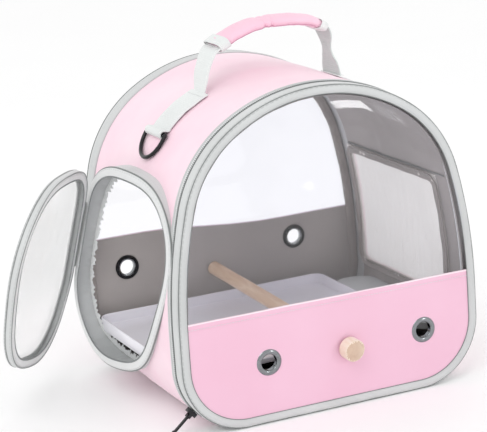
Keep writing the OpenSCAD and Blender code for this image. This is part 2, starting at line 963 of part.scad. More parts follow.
module front_pull() {
    color(black) at_front_slider() translate([slider_h + 2.8, 2, 0]) rotate([90, 0, 0])
        linear_extrude(4) difference() {
            union() {
                circle(r = pull_eye);
                translate([0, -1]) square([front_pull_l - 2, 2]);
                translate([front_pull_l - 2, 0]) circle(r = 2);
            }
            circle(r = pin_r + 0.35);
        }
}

slider_on = 170;

module at_door_slider() {
    door_frame() translate([-10.3, ring_c[3].x, ring_c[3].y]) rotate([slider_on, 0, 0])
        translate([0, ring_r[3] + layer_gap, 0]) children();
}

module door_slider() {
    color(black) at_door_slider() {
        translate([-3.8, 0, -5.5]) cube([7.6, 4, 11]);
        for (s = [-1, 1]) translate([s * 3.8 - (s + 1) * 0.5, 3.9, -1.6]) cube([1, 4.6, 3.2]);
        translate([0, 6.8, 0]) rotate([0, 90, 0]) cylinder(r = pin_r, h = 7, center = true);
    }
}

module door_pull() {
    color(black) at_door_slider() translate([-0.9, 6.8, 0]) rotate([-slider_on, 0, 0])
        rotate([90, 0, 90]) linear_extrude(1.8) rotate(-90) pull_plate(door_pull_l, 9);
}

shell_cover();
shell_lining();
floor_board();
front_zip_tape();
front_piping();
front_zip_teeth();
front_sill();
rear_gusset();
rear_piping();
rear_binding();
rear_panel();
rear_lining();
rear_window();
rear_inner_binding();
rear_hoop();
rear_eyelets();
rear_washers();
door_rim();
door_rim_tape();
door_rim_teeth();
door_rim_lining();
door_hinge_tape();
side_mesh();
mesh_hem();
tray();
side_pad();
perch();
left_strap();
right_strap();
front_slider();
door_slider();
front_gusset();
front_binding();
front_panel();
front_lining();
front_window();
front_inner_binding();
front_hoop();
front_eyelets();
front_washers();
panel_teeth();
front_knob();
front_bolt();
rear_knob();
rear_bolt();
door_band();
door_tape();
door_teeth();
door_window();
door_binding();
door_pull();
front_pull();
handle_webbing();
handle_grip();
handle_keepers();
left_d_ring();
right_d_ring();
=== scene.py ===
"""Bird travel carrier: the sewn, clear, metal and timber pieces dressed over the fixed frame."""

import json
import logging
import math
from contextlib import contextmanager
from dataclasses import dataclass, field, replace
from enum import Enum
from typing import Callable, Iterator, Sequence

import bpy
import numpy as np
from mathutils import Matrix, Vector

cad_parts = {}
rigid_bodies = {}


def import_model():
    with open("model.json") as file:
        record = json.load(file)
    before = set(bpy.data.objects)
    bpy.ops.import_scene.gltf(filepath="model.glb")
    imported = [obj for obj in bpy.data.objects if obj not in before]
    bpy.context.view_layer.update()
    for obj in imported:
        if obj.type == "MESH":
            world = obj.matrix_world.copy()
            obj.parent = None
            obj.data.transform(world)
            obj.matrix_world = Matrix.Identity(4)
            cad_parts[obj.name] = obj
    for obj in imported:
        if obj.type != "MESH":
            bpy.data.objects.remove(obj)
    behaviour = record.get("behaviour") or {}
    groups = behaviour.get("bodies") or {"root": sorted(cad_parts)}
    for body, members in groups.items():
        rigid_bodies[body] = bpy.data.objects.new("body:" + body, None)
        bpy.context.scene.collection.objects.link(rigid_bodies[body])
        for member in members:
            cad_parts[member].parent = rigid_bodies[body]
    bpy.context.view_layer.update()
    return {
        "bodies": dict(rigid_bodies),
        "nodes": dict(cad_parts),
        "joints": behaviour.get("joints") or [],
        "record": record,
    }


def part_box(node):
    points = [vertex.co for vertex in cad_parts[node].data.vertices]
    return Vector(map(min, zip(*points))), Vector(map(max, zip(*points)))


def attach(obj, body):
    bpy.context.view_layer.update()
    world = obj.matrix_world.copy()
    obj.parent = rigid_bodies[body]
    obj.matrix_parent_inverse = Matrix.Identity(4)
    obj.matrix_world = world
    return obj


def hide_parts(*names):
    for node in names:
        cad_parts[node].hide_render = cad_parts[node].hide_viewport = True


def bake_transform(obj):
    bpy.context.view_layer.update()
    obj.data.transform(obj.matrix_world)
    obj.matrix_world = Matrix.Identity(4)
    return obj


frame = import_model()

MM = 0.001
TAU = 2 * math.pi
SOFT_HALF = 117.0  # half the length, in millimetres, over which the shell's cloth is slack
log = logging.getLogger("carrier")

Rows = np.ndarray
Place = Callable[[Rows, Rows], Rows]
Field = Callable[[Rows, Rows], Rows]
Ways = Callable[[Rows], Rows]
Pair = tuple[float, float]
Piece = bpy.types.Object
Finish = bpy.types.Material
Socket = bpy.types.NodeSocket


# ---- bench: the few moves that every piece is made with ----
def select_only(piece: Piece) -> None:
    """Select one piece and make it the active one."""
    if bpy.context.object and bpy.context.object.mode != "OBJECT":
        bpy.ops.object.mode_set(mode="OBJECT")
    bpy.ops.object.select_all(action="DESELECT")
    piece.hide_set(False)
    piece.select_set(True)
    bpy.context.view_layer.objects.active = piece


def apply_modifier(piece: Piece, kind: str, **values: object) -> None:
    """Give a piece one modifier and apply it.

    Args:
        piece: the piece to change.
        kind: Blender's name for the modifier.
        values: settings of the modifier.
    """
    modifier = piece.modifiers.new(kind.title(), kind)
    for key, value in values.items():
        setattr(modifier, key, value)
    select_only(piece)
    bpy.ops.object.modifier_apply(modifier=modifier.name)


def settle(piece: Piece) -> None:
    """Move a piece's place, turn and scale into its mesh."""
    select_only(piece)
    bpy.ops.object.transform_apply(location=True, rotation=True, scale=True)


@contextmanager
def edited(piece: Piece, points: str = "SELECT") -> Iterator[None]:
    """Open a piece's mesh with its points picked or let go, and close it afterwards."""
    select_only(piece)
    bpy.ops.object.mode_set(mode="EDIT")
    bpy.ops.mesh.select_all(action=points)
    yield
    bpy.ops.object.mode_set(mode="OBJECT")


def link(name: str, data: bpy.types.ID) -> Piece:
    """Put a new object that holds the data on the bench."""
    made = bpy.data.objects.new(name, data)
    bpy.context.scene.collection.objects.link(made)
    return made


def shape(name: str, points: Rows, faces: Sequence[tuple[int, ...]]) -> Piece:
    """Make a piece from points in metres and the faces between them."""
    mesh = bpy.data.meshes.new(name)
    mesh.from_pydata(points.tolist(), [], faces)
    return link(name, mesh)


def close_up(piece: Piece, outward: bool = False) -> None:
    """Merge the points that lie on each other, and turn a closed shape outwards if asked."""
    with edited(piece):
        bpy.ops.mesh.remove_doubles(threshold=2e-6)
        if outward:
            bpy.ops.mesh.normals_make_consistent(inside=False)


def smooth(piece: Piece, angle: float = 40.0) -> Piece:
    """Shade a piece smooth except over edges sharper than an angle in degrees."""
    select_only(piece)
    bpy.ops.object.shade_smooth_by_angle(angle=math.radians(angle))
    return piece


def rows_of(items: bpy.types.bpy_prop_collection, key: str) -> Rows:
    """A mesh value of three parts, as one row for each item."""
    values = np.empty(len(items) * 3)
    items.foreach_get(key, values)
    return values.reshape(-1, 3)


def corners(piece: Piece) -> Rows:
    """The piece's points as an array of rows."""
    return rows_of(piece.data.vertices, "co")


def set_corners(piece: Piece, points: Rows) -> None:
    """Write the piece's points back."""
    piece.data.vertices.foreach_set("co", np.ascontiguousarray(points, float).ravel())
    piece.data.update()


def face_away(piece: Piece, toward: Ways | Sequence[float]) -> None:
    """Turn an open sheet so that its faces look the way that toward gives.

    Args:
        piece: the sheet.
        toward: one direction, or from the faces' centres to their directions.
    """
    faces = piece.data.polygons
    way = toward(rows_of(faces, "center")) if callable(toward) else np.array(toward)
    if (rows_of(faces, "normal") * way).sum() < 0:
        with edited(piece):
            bpy.ops.mesh.flip_normals()


def away_from(centre: Rows, axis: Rows, sign: float = 1.0) -> Ways:
    """Directions away from an axis through centre, or towards it where sign is negative."""
    return lambda c: sign * ((c - centre) - ((c - centre) @ axis)[:, None] * axis)


def lay_sheet(name: str, along: int, across: int, place: Place,
              size: Pair, merge: bool = False) -> Piece:
    """Lay a flat grid over a curved place.

    Args:
        name: the piece's name.
        along: squares along the cloth.
        across: squares across the cloth.
        place: from shares along and across (0 to 1) to points in millimetres.
        size: the cut's length and width in metres, which its UV map keeps.
        merge: whether the sheet closes on itself.

    Returns:
        The sheet, still without thickness.
    """
    bpy.ops.mesh.primitive_grid_add(x_subdivisions=along, y_subdivisions=across, size=2.0)
    piece = bpy.context.object
    piece.name = piece.data.name = name
    flat = corners(piece)
    share = (flat[:, :2] + 1) / 2
    set_corners(piece, place(share[:, 0], share[:, 1]) * MM)
    uv = piece.data.uv_layers[0].data
    flat_uv = np.empty(len(uv) * 2)
    uv.foreach_get("uv", flat_uv)
    uv.foreach_set("uv", (flat_uv.reshape(-1, 2) * np.array(size)).ravel())
    piece.data.uv_layers[0].name = "Cloth"
    if merge:
        close_up(piece)
    return piece


def thicken(piece: Piece, t: float, edge: float = 0.0) -> Piece:
    """Give a sheet its thickness behind its face, in millimetres, and soften its edges."""
    apply_modifier(piece, "SOLIDIFY", thickness=t * MM, offset=-1.0, use_even_offset=True)
    if edge:
        apply_modifier(piece, "BEVEL", width=edge * MM, segments=2, limit_method="ANGLE",
                       angle_limit=math.radians(50))
    return smooth(piece)


def cut(piece: Piece, cutters: Sequence[Piece]) -> Piece:
    """Cut holes in a piece with closed shapes."""
    for cutter in cutters:
        apply_modifier(piece, "BOOLEAN", operation="DIFFERENCE", object=cutter, solver="EXACT")
    return smooth(piece)


def drop(pieces: Sequence[Piece]) -> None:
    """Take the cutting shapes off the bench."""
    for piece in pieces:
        bpy.data.objects.remove(piece)


def waves(u: Rows, v: Rows, seed: float) -> Rows:
    """A soft random-looking field from -1 to 1, about one wave for each unit of u and v."""
    out = np.zeros(np.broadcast(u, v).shape)
    for k in range(5):
        a, b = 1 + 0.61 * k, seed + 2.4 * k
        out = out + np.sin(a * (u * math.cos(b) + v * math.sin(b)) * TAU + 3.1 * b) / (1 + 0.5 * k)
    return out / 2.6


def moved(points: Rows, matrix: Matrix) -> Rows:
    """Points carried by a matrix."""
    m = np.array(matrix)
    return points @ m[:3, :3].T + m[:3, 3]


def ease(t: Rows) -> Rows:
    """A share from 0 to 1 that starts and ends softly."""
    return t * t * (3 - 2 * t)


def unit(rows: Rows) -> Rows:
    """The rows, each brought to a length of one."""
    return rows / np.linalg.norm(rows, axis=-1, keepdims=True)


def run_of(points: Rows) -> Rows:
    """Distance along a line to each of its points."""
    return np.r_[0, np.cumsum(np.linalg.norm(np.diff(points, axis=0), axis=1))]


def read_off(at: Rows, run: Rows, rows: Rows) -> Rows:
    """The rows' values at distances along the line that they belong to."""
    return np.stack([np.interp(at, run, rows[:, k]) for k in range(rows.shape[1])], -1)


def soft_line(points: Sequence[Sequence[float]], count: int) -> Rows:
    """A smooth line of evenly spaced points through the given ones (Catmull-Rom)."""
    p = np.array(points, float)
    p = np.vstack([2 * p[0] - p[1], p, 2 * p[-1] - p[-2]])
    out = []
    for k in range(len(p) - 3):
        a, b, c, d = p[k:k + 4]
        for t in np.linspace(0, 1, 24, endpoint=False):
            out.append(0.5
                       * (2 * b + (c - a) * t + (2 * a - 5 * b + 4 * c - d) * t * t
                          + (3 * b - a - 3 * c + d) * t ** 3))
    line = np.array(out + [p[-2]])
    run = run_of(line)
    return read_off(np.linspace(0, run[-1], count), run, line)


def side_of(line: Rows) -> Rows:
    """Unit vectors square to a plane line, to the left of its run."""
    run = unit(np.gradient(line, axis=0))
    return np.stack([-run[:, 1], run[:, 0]], 1)


def out_of(loop: Rows) -> Rows:
    """Unit vectors that point out of a closed plane loop."""
    way = np.roll(loop, -1, 0) - np.roll(loop, 1, 0)
    return unit(np.stack([way[:, 1], -way[:, 0]], 1))


# ---- outlines that the cloth is sewn to ----
@dataclass(frozen=True)
class Outline:
    """A closed line of arcs that touch smoothly, and the frame that it lies in."""

    points: Rows
    normals: Rows
    run: Rows
    frame: Matrix
    tilt: float = 0.0
    tilt_from: float = 80.0

    @staticmethod
    def of_arcs(arcs: Sequence[tuple[float, float, float, float, float]],
                frame: Matrix) -> "Outline":
        """Join arcs, each (centre, centre, radius, first angle, last angle), by straight lines.

        Args:
            arcs: the arcs in order, in millimetres and degrees.
            frame: from (first axis, second axis, depth) to the object's frame.

        Returns:
            The closed outline.
        """
        points, normals = [], []
        for cx, cz, r, a0, a1 in arcs:
            for a in np.radians(np.linspace(a0, a1, max(3, int(abs(a1 - a0) / 1.5)))):
                n = np.array([math.cos(a), math.sin(a)])
                points.append(np.array([cx, cz]) + r * n)
                normals.append(n)
        p, n = np.array(points + points[:1]), np.array(normals + normals[:1])
        run = run_of(p)
        keep = np.r_[True, np.diff(run) > 1e-6]
        return Outline(p[keep], n[keep], run[keep], frame)

    @property
    def length(self) -> float:
        """Length round the outline in millimetres."""
        return float(self.run[-1])

    @property
    def axis(self) -> Rows:
        """Direction of its depth in the object's frame."""
        return np.array(self.frame)[:3, 2]

    def lean(self, height: Rows) -> Rows:
        """How far the outline leans back at heights above its floor, in millimetres."""
        rise = np.maximum(height - self.tilt_from, 0)
        return self.tilt * rise * rise / (rise + 40)

    def softened(self, spread: float, held: float, tilt: float, count: int = 720) -> "Outline":
        """The outline as stretched cloth takes it, with bowed sides.

        Args:
            spread: over what length it is smoothed, in millimetres.
            held: direction in degrees of the side that stays straight.
            tilt: how strongly it leans back.
            count: points of the new outline.

        Returns:
            The softened outline.
        """
        old, normal = self.at(np.linspace(0, self.length, count, endpoint=False))
        rates = np.fft.rfftfreq(count, self.length / count)
        damp = np.exp(-2 * (math.pi * rates * spread) ** 2)
        p = np.stack([np.fft.irfft(np.fft.rfft(old[:, k]) * damp, count) for k in (0, 1)], 1)
        p += float(((old - p) * normal).sum(1).max()) * out_of(p)
        a = math.radians(held)
        near = np.degrees(np.arccos(np.clip(normal @ [math.cos(a), math.sin(a)], -1, 1)))
        stay = ease(np.clip(1 - near / 35, 0, 1)[:, None])
        p = p * (1 - stay) + old * stay
        out = out_of(p)
        p, out = np.vstack([p, p[:1]]), np.vstack([out, out[:1]])
        return Outline(p, out, run_of(p), self.frame, tilt)

    def at(self, s: Rows, inset: Rows | float = 0.0) -> tuple[Rows, Rows]:
        """Points and outward normals at distances along the outline, moved in by inset."""
        s = np.mod(s, self.length)
        n = unit(read_off(s, self.run, self.normals))
        return read_off(s, self.run, self.points) - n * np.asarray(inset)[..., None], n

    def once_round(self, u: Rows) -> Rows:
        """Distances along the outline for shares of it, whose end is its start."""
        return np.mod(u * self.length, self.length - 1e-7)

    def world(self, plane: Rows, depth: Rows) -> Rows:
        """Points of the outline's plane at a depth, in the object's frame and above its floor."""
        local = np.concatenate([plane, (depth - self.lean(plane[..., 1]))[..., None]], -1)
        spots = moved(local, self.frame)
        spots[..., 2] = np.maximum(spots[..., 2], 0.0)
        return spots

    def half_width(self, z: Rows, inset: float = 0.0) -> Rows:
        """Half of the outline's width at heights above its floor."""
        p = self.points - self.normals * inset
        right = p[(p[:, 0] > 0) & (p[:, 1] > 1.01 * inset)]
        order = np.argsort(right[:, 1])
        return np.interp(z, right[order, 1], right[order, 0])

    def band(self, name: str, profile: Sequence[Pair], thick: float = 0.0,
             step: float = 5.0, lift: Field | None = None, fine: int = 0,
             edge: float = 0.0) -> Piece:
        """Sew a strip round the outline.

        Args:
            name: the piece's name.
            profile: (depth, inset) points of its face, from one edge to the other.
            thick: thickness behind the face in millimetres, or 0 for none.
            step: length of one square along the outline.
            lift: how far its points stand out, from distance along and depth.
            fine: how many points the profile is smoothed to, or 0 to keep it.
            edge: softening of its edges in millimetres.

        Returns:
            The strip, facing outwards.
        """
        line = soft_line(profile, fine) if fine else np.array(profile, float)
        wide = len(line) - 1

        def place(u: Rows, v: Rows) -> Rows:
            """Points of the strip."""
            k = np.rint(v * wide).astype(int)
            s, depth, inset = self.once_round(u), line[k, 0], line[k, 1]
            plane, _ = self.at(s, inset - (lift(s, depth) if lift else 0.0))
            return self.world(plane, depth)

        piece = lay_sheet(name, round(self.length / step), wide, place,
                          (self.length * MM, run_of(line)[-1] * MM), merge=True)
        rise, spread = np.abs(line[-1] - line[0])
        if np.allclose(line[0], line[-1]):
            close_up(piece, outward=True)
        elif spread > rise:
            face_away(piece, self.axis * (-1.0 if line[:, 0].mean() < 0 else 1.0))
        else:
            middle = self.world(self.points.mean(0)[None], np.array([line[:, 0].mean()]))[0]
            face_away(piece, away_from(middle * MM, self.axis))
        return thicken(piece, thick, edge) if thick else smooth(piece, 60)

    def cord(self, name: str, depth: float, inset: float, radius: float) -> Piece:
        """Sew a thin round cord round the outline."""
        turn = np.linspace(0, TAU, 9)
        ring = [(depth + radius * math.cos(a), inset + radius * math.sin(a)) for a in turn]
        ring[-1] = ring[0]
        return smooth(self.band(name, ring, step=4.0), 80)

    def disc(self, name: str, inset: float, depth: float, bulge: Field, low: float = -1e9,
             rings: int = 14, step: float = 7.0) -> Piece:
        """Stretch a sheet inside the outline, above a level.

        Args:
            name: the piece's name.
            inset: how far inside the outline its edge lies.
            depth: its depth.
            bulge: depth added, from the plane's two coordinates.
            low: the level of its straight lower edge.
            rings: squares from the edge to the middle.
            step: length of one square along the edge.

        Returns:
            The sheet, still without thickness.
        """
        s = np.linspace(0, self.length, round(self.length / step) * 2, endpoint=False)
        edge, _ = self.at(s, inset)
        if edge[:, 1].min() < low:
            keep = edge[:, 1] > low
            start = int(np.argmax(~keep))
            edge, keep = np.roll(edge, -start, 0), np.roll(keep, -start)
            edge = edge[keep]
            half = abs(edge[0, 0])
            chord = np.linspace(-half, half, round(2 * half / step) + 1)
            edge = np.vstack([edge, np.stack([chord, np.full(len(chord), low)], 1)])
        edge = np.vstack([edge, edge[:1]])
        run = run_of(edge)
        keep = np.r_[True, np.diff(run) > 1e-6]
        edge, run = edge[keep], run[keep]
        middle = (edge.min(0) + edge.max(0)) / 2

        def place(u: Rows, v: Rows) -> Rows:
            """Points of the sheet."""
            rim = read_off(np.mod(u, 1) * run[-1], run, edge)
            plane = middle + (rim - middle) * (v[:, None] * 0.999 + 0.001)
            return self.world(plane, depth + bulge(plane[:, 0], plane[:, 1]))

        span = float(np.linalg.norm(edge.max(0) - edge.min(0)))
        return lay_sheet(name, len(edge) - 1, rings, place, (run[-1] * MM, span / 2 * MM), True)

    def prism(self, name: str, inset: float, start: float = -60.0, end: float = 6.0) -> Piece:
        """A closed block of the outline's shape between two depths, to cut with."""
        plane, _ = self.at(np.linspace(0, self.length, 120, endpoint=False), inset)
        low, high = (self.world(plane, np.full(120, depth)) for depth in (start, end))
        return block(name, low, high)

    def seats(self, depth: float, inset: float, pitch: float, flat: bool = False,
              keep: Callable[[Rows], Rows] | None = None) -> list[Matrix]:
        """Where pieces stand that repeat along the outline.

        Args:
            depth: their depth.
            inset: how far inside the outline they are.
            pitch: distance from one to the next.
            flat: whether they look along the depth, and not outwards.
            keep: which points of the plane get one.

        Returns:
            A frame for each: first axis along the outline, third axis outwards.
        """
        s = np.arange(0, self.length, self.length / round(self.length / pitch))
        plane, normal = self.at(s, inset)
        if keep is not None:
            chosen = keep(plane)
            plane, normal = plane[chosen], normal[chosen]
        base, out = self.world(plane, np.full(len(plane), depth)), []
        m = np.array(self.frame)[:3, :3]
        for p, n in zip(base, normal):
            tangent = m @ np.array([-n[1], n[0], 0])
            up = m @ (np.array([0, 0, 1.0]) if flat else np.array([n[0], n[1], 0]))
            side = np.cross(up, tangent)
            out.append(Matrix.Translation(Vector(p * MM))
                       @ Matrix(np.stack([tangent, side, up], 1).tolist()).to_4x4())
        return out


def block(name: str, low: Rows, high: Rows) -> Piece:
    """A closed block between two loops of as many points each, in millimetres."""
    n = len(low)
    sides = [(k, (k + 1) % n, n + (k + 1) % n, n + k) for k in range(n)]
    ends = [tuple(range(n))[::-1], tuple(range(n, 2 * n))]
    piece = shape(name, np.vstack([low, high]) * MM, sides + ends)
    close_up(piece, outward=True)
    return piece


def pellet(size: tuple[float, float, float], bevel: float) -> Piece:
    """A small block with soft edges, sizes in millimetres."""
    bpy.ops.mesh.primitive_cube_add(size=1.0, scale=[v * MM for v in size])
    piece = bpy.context.object
    settle(piece)
    apply_modifier(piece, "BEVEL", width=bevel * MM, segments=1)
    return piece


def repeat(name: str, one: Piece, seats: Sequence[Matrix]) -> Piece:
    """One piece that holds a copy of a shape at each seat.

    Args:
        name: the piece's name.
        one: the shape to copy, which is taken off the bench.
        seats: a frame for each copy.

    Returns:
        The joined piece.
    """
    points = corners(one)
    faces = [tuple(f.vertices) for f in one.data.polygons]
    rows, copies = [], []
    for k, seat in enumerate(seats):
        rows.append(moved(points, seat))
        copies += [tuple(i + k * len(points) for i in f) for f in faces]
    piece = shape(name, np.vstack(rows), copies)
    drop([one])
    return smooth(piece, 50)


def tube(name: str, path: Rows, radius: float) -> Piece:
    """A thin round tube along points in millimetres."""
    run = unit(np.gradient(path, axis=0))
    side = unit(np.cross(run, [0.13, 0.2, 0.97]))
    up = np.cross(side, run)

    def place(u: Rows, v: Rows) -> Rows:
        """Points of the tube."""
        k, a = np.rint(u * (len(path) - 1)).astype(int), (v * TAU)[:, None]
        return path[k] + radius * (side[k] * np.cos(a) + up[k] * np.sin(a))

    piece = lay_sheet(name, len(path) - 1, 8, place, (0.1, radius * 6 * MM), merge=True)
    cap_ends(piece)
    return smooth(piece, 60)


def cap_ends(piece: Piece) -> None:
    """Close the open ends of a tube and turn it outwards."""
    with edited(piece, "DESELECT"):
        bpy.ops.mesh.select_non_manifold()
        bpy.ops.mesh.edge_face_add()
    close_up(piece, outward=True)


# ---- node graphs ----
class Weave(Enum):
    """How a cloth is woven, by the name of its effect."""

    PLAIN = "Plain weave"
    TWILL = "Twill"
    RIBS = "Ribs"
    COATED = "Coated grain"


class Graph:
    """A shader graph under construction."""

    def __init__(self, tree: bpy.types.NodeTree) -> None:
        """Hold the tree that nodes are added to."""
        self.tree = tree

    def node(self, kind: str, **inputs: object) -> bpy.types.Node:
        """Add a node and feed its inputs, each by name with _ for a space."""
        made = self.tree.nodes.new("ShaderNode" + kind)
        for key, value in inputs.items():
            self.feed(made.inputs[key.replace("_", " ")], value)
        return made

    def feed(self, socket: Socket, value: object) -> None:
        """Set a socket to a value, or link it to an output."""
        if isinstance(value, Socket):
            self.tree.links.new(value, socket)
        else:
            socket.default_value = value

    def maths(self, operation: str, *values: object) -> Socket:
        """A sum of one to three values."""
        made = self.tree.nodes.new("ShaderNodeMath")
        made.operation = operation
        for socket, value in zip(made.inputs, values):
            self.feed(socket, value)
        return made.outputs[0]

    def times(self, a: object, b: object) -> Socket:
        """The product of two values."""
        return self.maths("MULTIPLY", a, b)

    def sine(self, value: object) -> Socket:
        """The sine of a value."""
        return self.maths("SINE", value)

    def arch(self, value: object) -> Socket:
        """The sine of a value, without its sign."""
        return self.maths("ABSOLUTE", self.sine(value))

    def ramp(self, value: object, low: float, high: float) -> Socket:
        """How far a value has come from low to high."""
        return self.node("MapRange", Value=value, From_Min=low, From_Max=high).outputs[0]

    def blend(self, share: object, a: object, b: object) -> Socket:
        """A colour between a and b."""
        made = self.tree.nodes.new("ShaderNodeMix")
        made.data_type = "RGBA"
        for index, value in ((0, share), (6, a), (7, b)):
            self.feed(made.inputs[index], value)
        return made.outputs[2]

    def noise(self, vector: object, scale: object, detail: float = 3.0, **more: float) -> Socket:
        """Soft noise from 0 to 1."""
        return self.node("TexNoise", Vector=vector, Scale=scale, Detail=detail, **more).outputs[0]

    def bump(self, height: object, strength: float, distance: float) -> Socket:
        """Normals of a surface with small heights."""
        return self.node("Bump", Height=height, Strength=strength, Distance=distance).outputs[0]

    def effect(self, name: str, **inputs: object) -> bpy.types.Node:
        """Place one of the shared effects."""
        made = self.tree.nodes.new("ShaderNodeGroup")
        made.node_tree = bpy.data.node_groups[name]
        for key, value in inputs.items():
            self.feed(made.inputs[key], value)
        return made


class Surface(Graph):
    """A material's graph, with its Principled shader and the places on the object."""

    def __init__(self, name: str) -> None:
        """Start the material."""
        self.material = bpy.data.materials.new(name)
        self.material.use_nodes = True
        super().__init__(self.material.node_tree)
        self.shader = self.tree.nodes["Principled BSDF"]
        self.place = self.node("TexCoord").outputs["Object"]

    def cut_place(self) -> Socket:
        """Places on the cloth's flat cut, in metres."""
        uv = self.tree.nodes.new("ShaderNodeUVMap")
        uv.uv_map = "Cloth"
        return uv.outputs[0]

    def finish(self, **inputs: object) -> Finish:
        """Feed the shader's inputs, each by name with _ for a space, and give the material."""
        for key, value in inputs.items():
            self.feed(self.shader.inputs[key.replace("_", " ")], value)
        return self.material


def new_effect(name: str, outputs: Sequence[str], **sizes: float) -> tuple[Graph, dict, dict]:
    """Start a shared effect, which takes a Vector and some sizes.

    Args:
        name: the effect's name.
        outputs: names of the values that it gives.
        sizes: its sizes and their first values.

    Returns:
        The graph, the sockets of what is given, and those of what it gives.
    """
    tree = bpy.data.node_groups.new(name, "ShaderNodeTree")
    tree.interface.new_socket("Vector", in_out="INPUT", socket_type="NodeSocketVector")
    for key, value in sizes.items():
        socket = tree.interface.new_socket(key, in_out="INPUT", socket_type="NodeSocketFloat")
        socket.default_value = value
    for key in outputs:
        tree.interface.new_socket(key, in_out="OUTPUT", socket_type="NodeSocketFloat")
    given, out = tree.nodes.new("NodeGroupInput"), tree.nodes.new("NodeGroupOutput")
    return Graph(tree), given.outputs, out.inputs


def build_effects() -> None:
    """Build the effects that several finishes share."""
    for weave in (Weave.PLAIN, Weave.TWILL, Weave.RIBS):
        g, given, out = new_effect(weave.value, ["Height"], Threads=1000.0)
        split = g.node("SeparateXYZ", Vector=given["Vector"]).outputs
        x, y = (g.times(g.times(split[k], given["Threads"]), math.pi) for k in (0, 1))
        if weave is Weave.PLAIN:
            h = g.times(g.sine(x), g.sine(y))
        elif weave is Weave.TWILL:
            h = g.times(g.sine(g.maths("ADD", x, y)), g.arch(x))
        else:
            rib = g.times(g.maths("SUBTRACT", g.times(g.arch(x), 2.0), 1.0), 0.8)
            h = g.maths("ADD", rib, g.times(g.sine(g.times(y, 1.6)), 0.2))
        g.feed(out["Height"], g.maths("MULTIPLY_ADD", h, 0.5, 0.5))

    g, given, out = new_effect("Clouding", ["Share"], Scale=12.0)
    g.feed(out["Share"], g.ramp(g.noise(given["Vector"], given["Scale"], 4.0), 0.32, 0.68))

    g, given, out = new_effect("Coated grain", ["Height"], Scale=900.0)
    cells = g.node("TexVoronoi", Vector=given["Vector"], Scale=given["Scale"]).outputs["Distance"]
    soft = g.noise(given["Vector"], 2400.0, 2.0)
    g.feed(out["Height"], g.maths("ADD", cells, g.times(soft, 0.5)))

    g, given, out = new_effect("Stitches", ["Mask"], Row=0.003, Pitch=0.003)
    split = g.node("SeparateXYZ", Vector=given["Vector"]).outputs
    dash = g.maths("PINGPONG", g.maths("DIVIDE", split[0], given["Pitch"]), 1.0)
    near = g.maths("ABSOLUTE", g.maths("SUBTRACT", split[1], given["Row"]))
    g.feed(out["Mask"], g.times(g.ramp(dash, 0.25, 0.4), g.ramp(near, 0.0007, 0.0004)))

    g, given, out = new_effect("Scuffs", ["Mask"], Scale=80.0)
    stretch = g.node("Mapping", Vector=given["Vector"], Scale=(1.0, 6.0, 2.0)).outputs[0]
    g.feed(out["Mask"], g.ramp(g.noise(stretch, given["Scale"], 6.0, Roughness=0.7), 0.5, 0.72))

    g, given, out = new_effect("Timber grain", ["Tint", "Height"], Rings=160.0)
    stretch = g.node("Mapping", Vector=given["Vector"], Scale=(1.0, 0.07, 1.0)).outputs[0]
    wander = g.noise(stretch, given["Rings"], 5.0, Roughness=0.6, Distortion=0.6)
    g.feed(out["Tint"], g.ramp(wander, 0.35, 0.65))
    g.feed(out["Height"], g.maths("ADD", wander, g.times(g.noise(stretch, 1500.0, 2.0), 0.4)))

    g, given, out = new_effect("Net holes", ["Mask"], Pitch=0.0016)
    split = g.node("SeparateXYZ", Vector=given["Vector"]).outputs
    x, y = (g.times(g.maths("DIVIDE", split[k], given["Pitch"]), math.pi) for k in (0, 1))
    g.feed(out["Mask"], g.ramp(g.times(g.arch(x), g.arch(y)), 0.42, 0.62))


def tone(code: str) -> tuple[float, float, float, float]:
    """A colour written as six hexadecimal digits, as the shader takes it."""
    parts = [int(code[k:k + 2], 16) / 255 for k in (0, 2, 4)]
    return (*[v / 12.92 if v <= 0.04045 else ((v + 0.055) / 1.055) ** 2.4 for v in parts], 1.0)


# ---- finishes ----
@dataclass(frozen=True)
class Cloth:
    """A sewn material: colour, weave, sheen and, if it has one, a row of stitches."""

    name: str
    light: str
    deep: str
    weave: Weave
    threads: float
    relief: float = 0.25
    rough: float = 0.8
    sheen: float = 0.25
    stitch_row: float = 0.0
    far_row: float = 0.0
    thread: str = "F4F4F2"

    def make(self) -> Finish:
        """Build the material."""
        g = Surface(self.name)
        uv, coated = g.cut_place(), self.weave is Weave.COATED
        fine = {"Scale" if coated else "Threads": self.threads}
        threads = g.effect(self.weave.value, Vector=g.place if coated else uv,
                           **fine).outputs["Height"]
        cloud = g.effect("Clouding", Vector=g.place, Scale=11.0).outputs["Share"]
        tint = g.blend(g.times(cloud, 0.55), tone(self.light), tone(self.deep))
        # Painted shade: the weave's low points are darkened towards the deep colour.
        weave_shade = g.times(g.maths("SUBTRACT", 1.0, threads), 0.16 if self.relief > 0.2 else 0.06)
        tint = g.blend(weave_shade, tint, tone(self.deep))
        height = g.times(threads, self.relief)
        for row in (self.stitch_row, self.far_row):
            if row:
                sewn = g.effect("Stitches", Vector=uv, Row=row).outputs["Mask"]
                tint = g.blend(g.times(sewn, 0.8), tint, tone(self.thread))
                height = g.maths("ADD", height, g.times(sewn, 0.9))
        return g.finish(Base_Color=tint, Normal=g.bump(height, 0.5, 0.0006),
                        Roughness=g.maths("MULTIPLY_ADD", cloud, 0.08, self.rough - 0.04),
                        Sheen_Weight=self.sheen, Sheen_Roughness=0.5, Specular_IOR_Level=0.35)


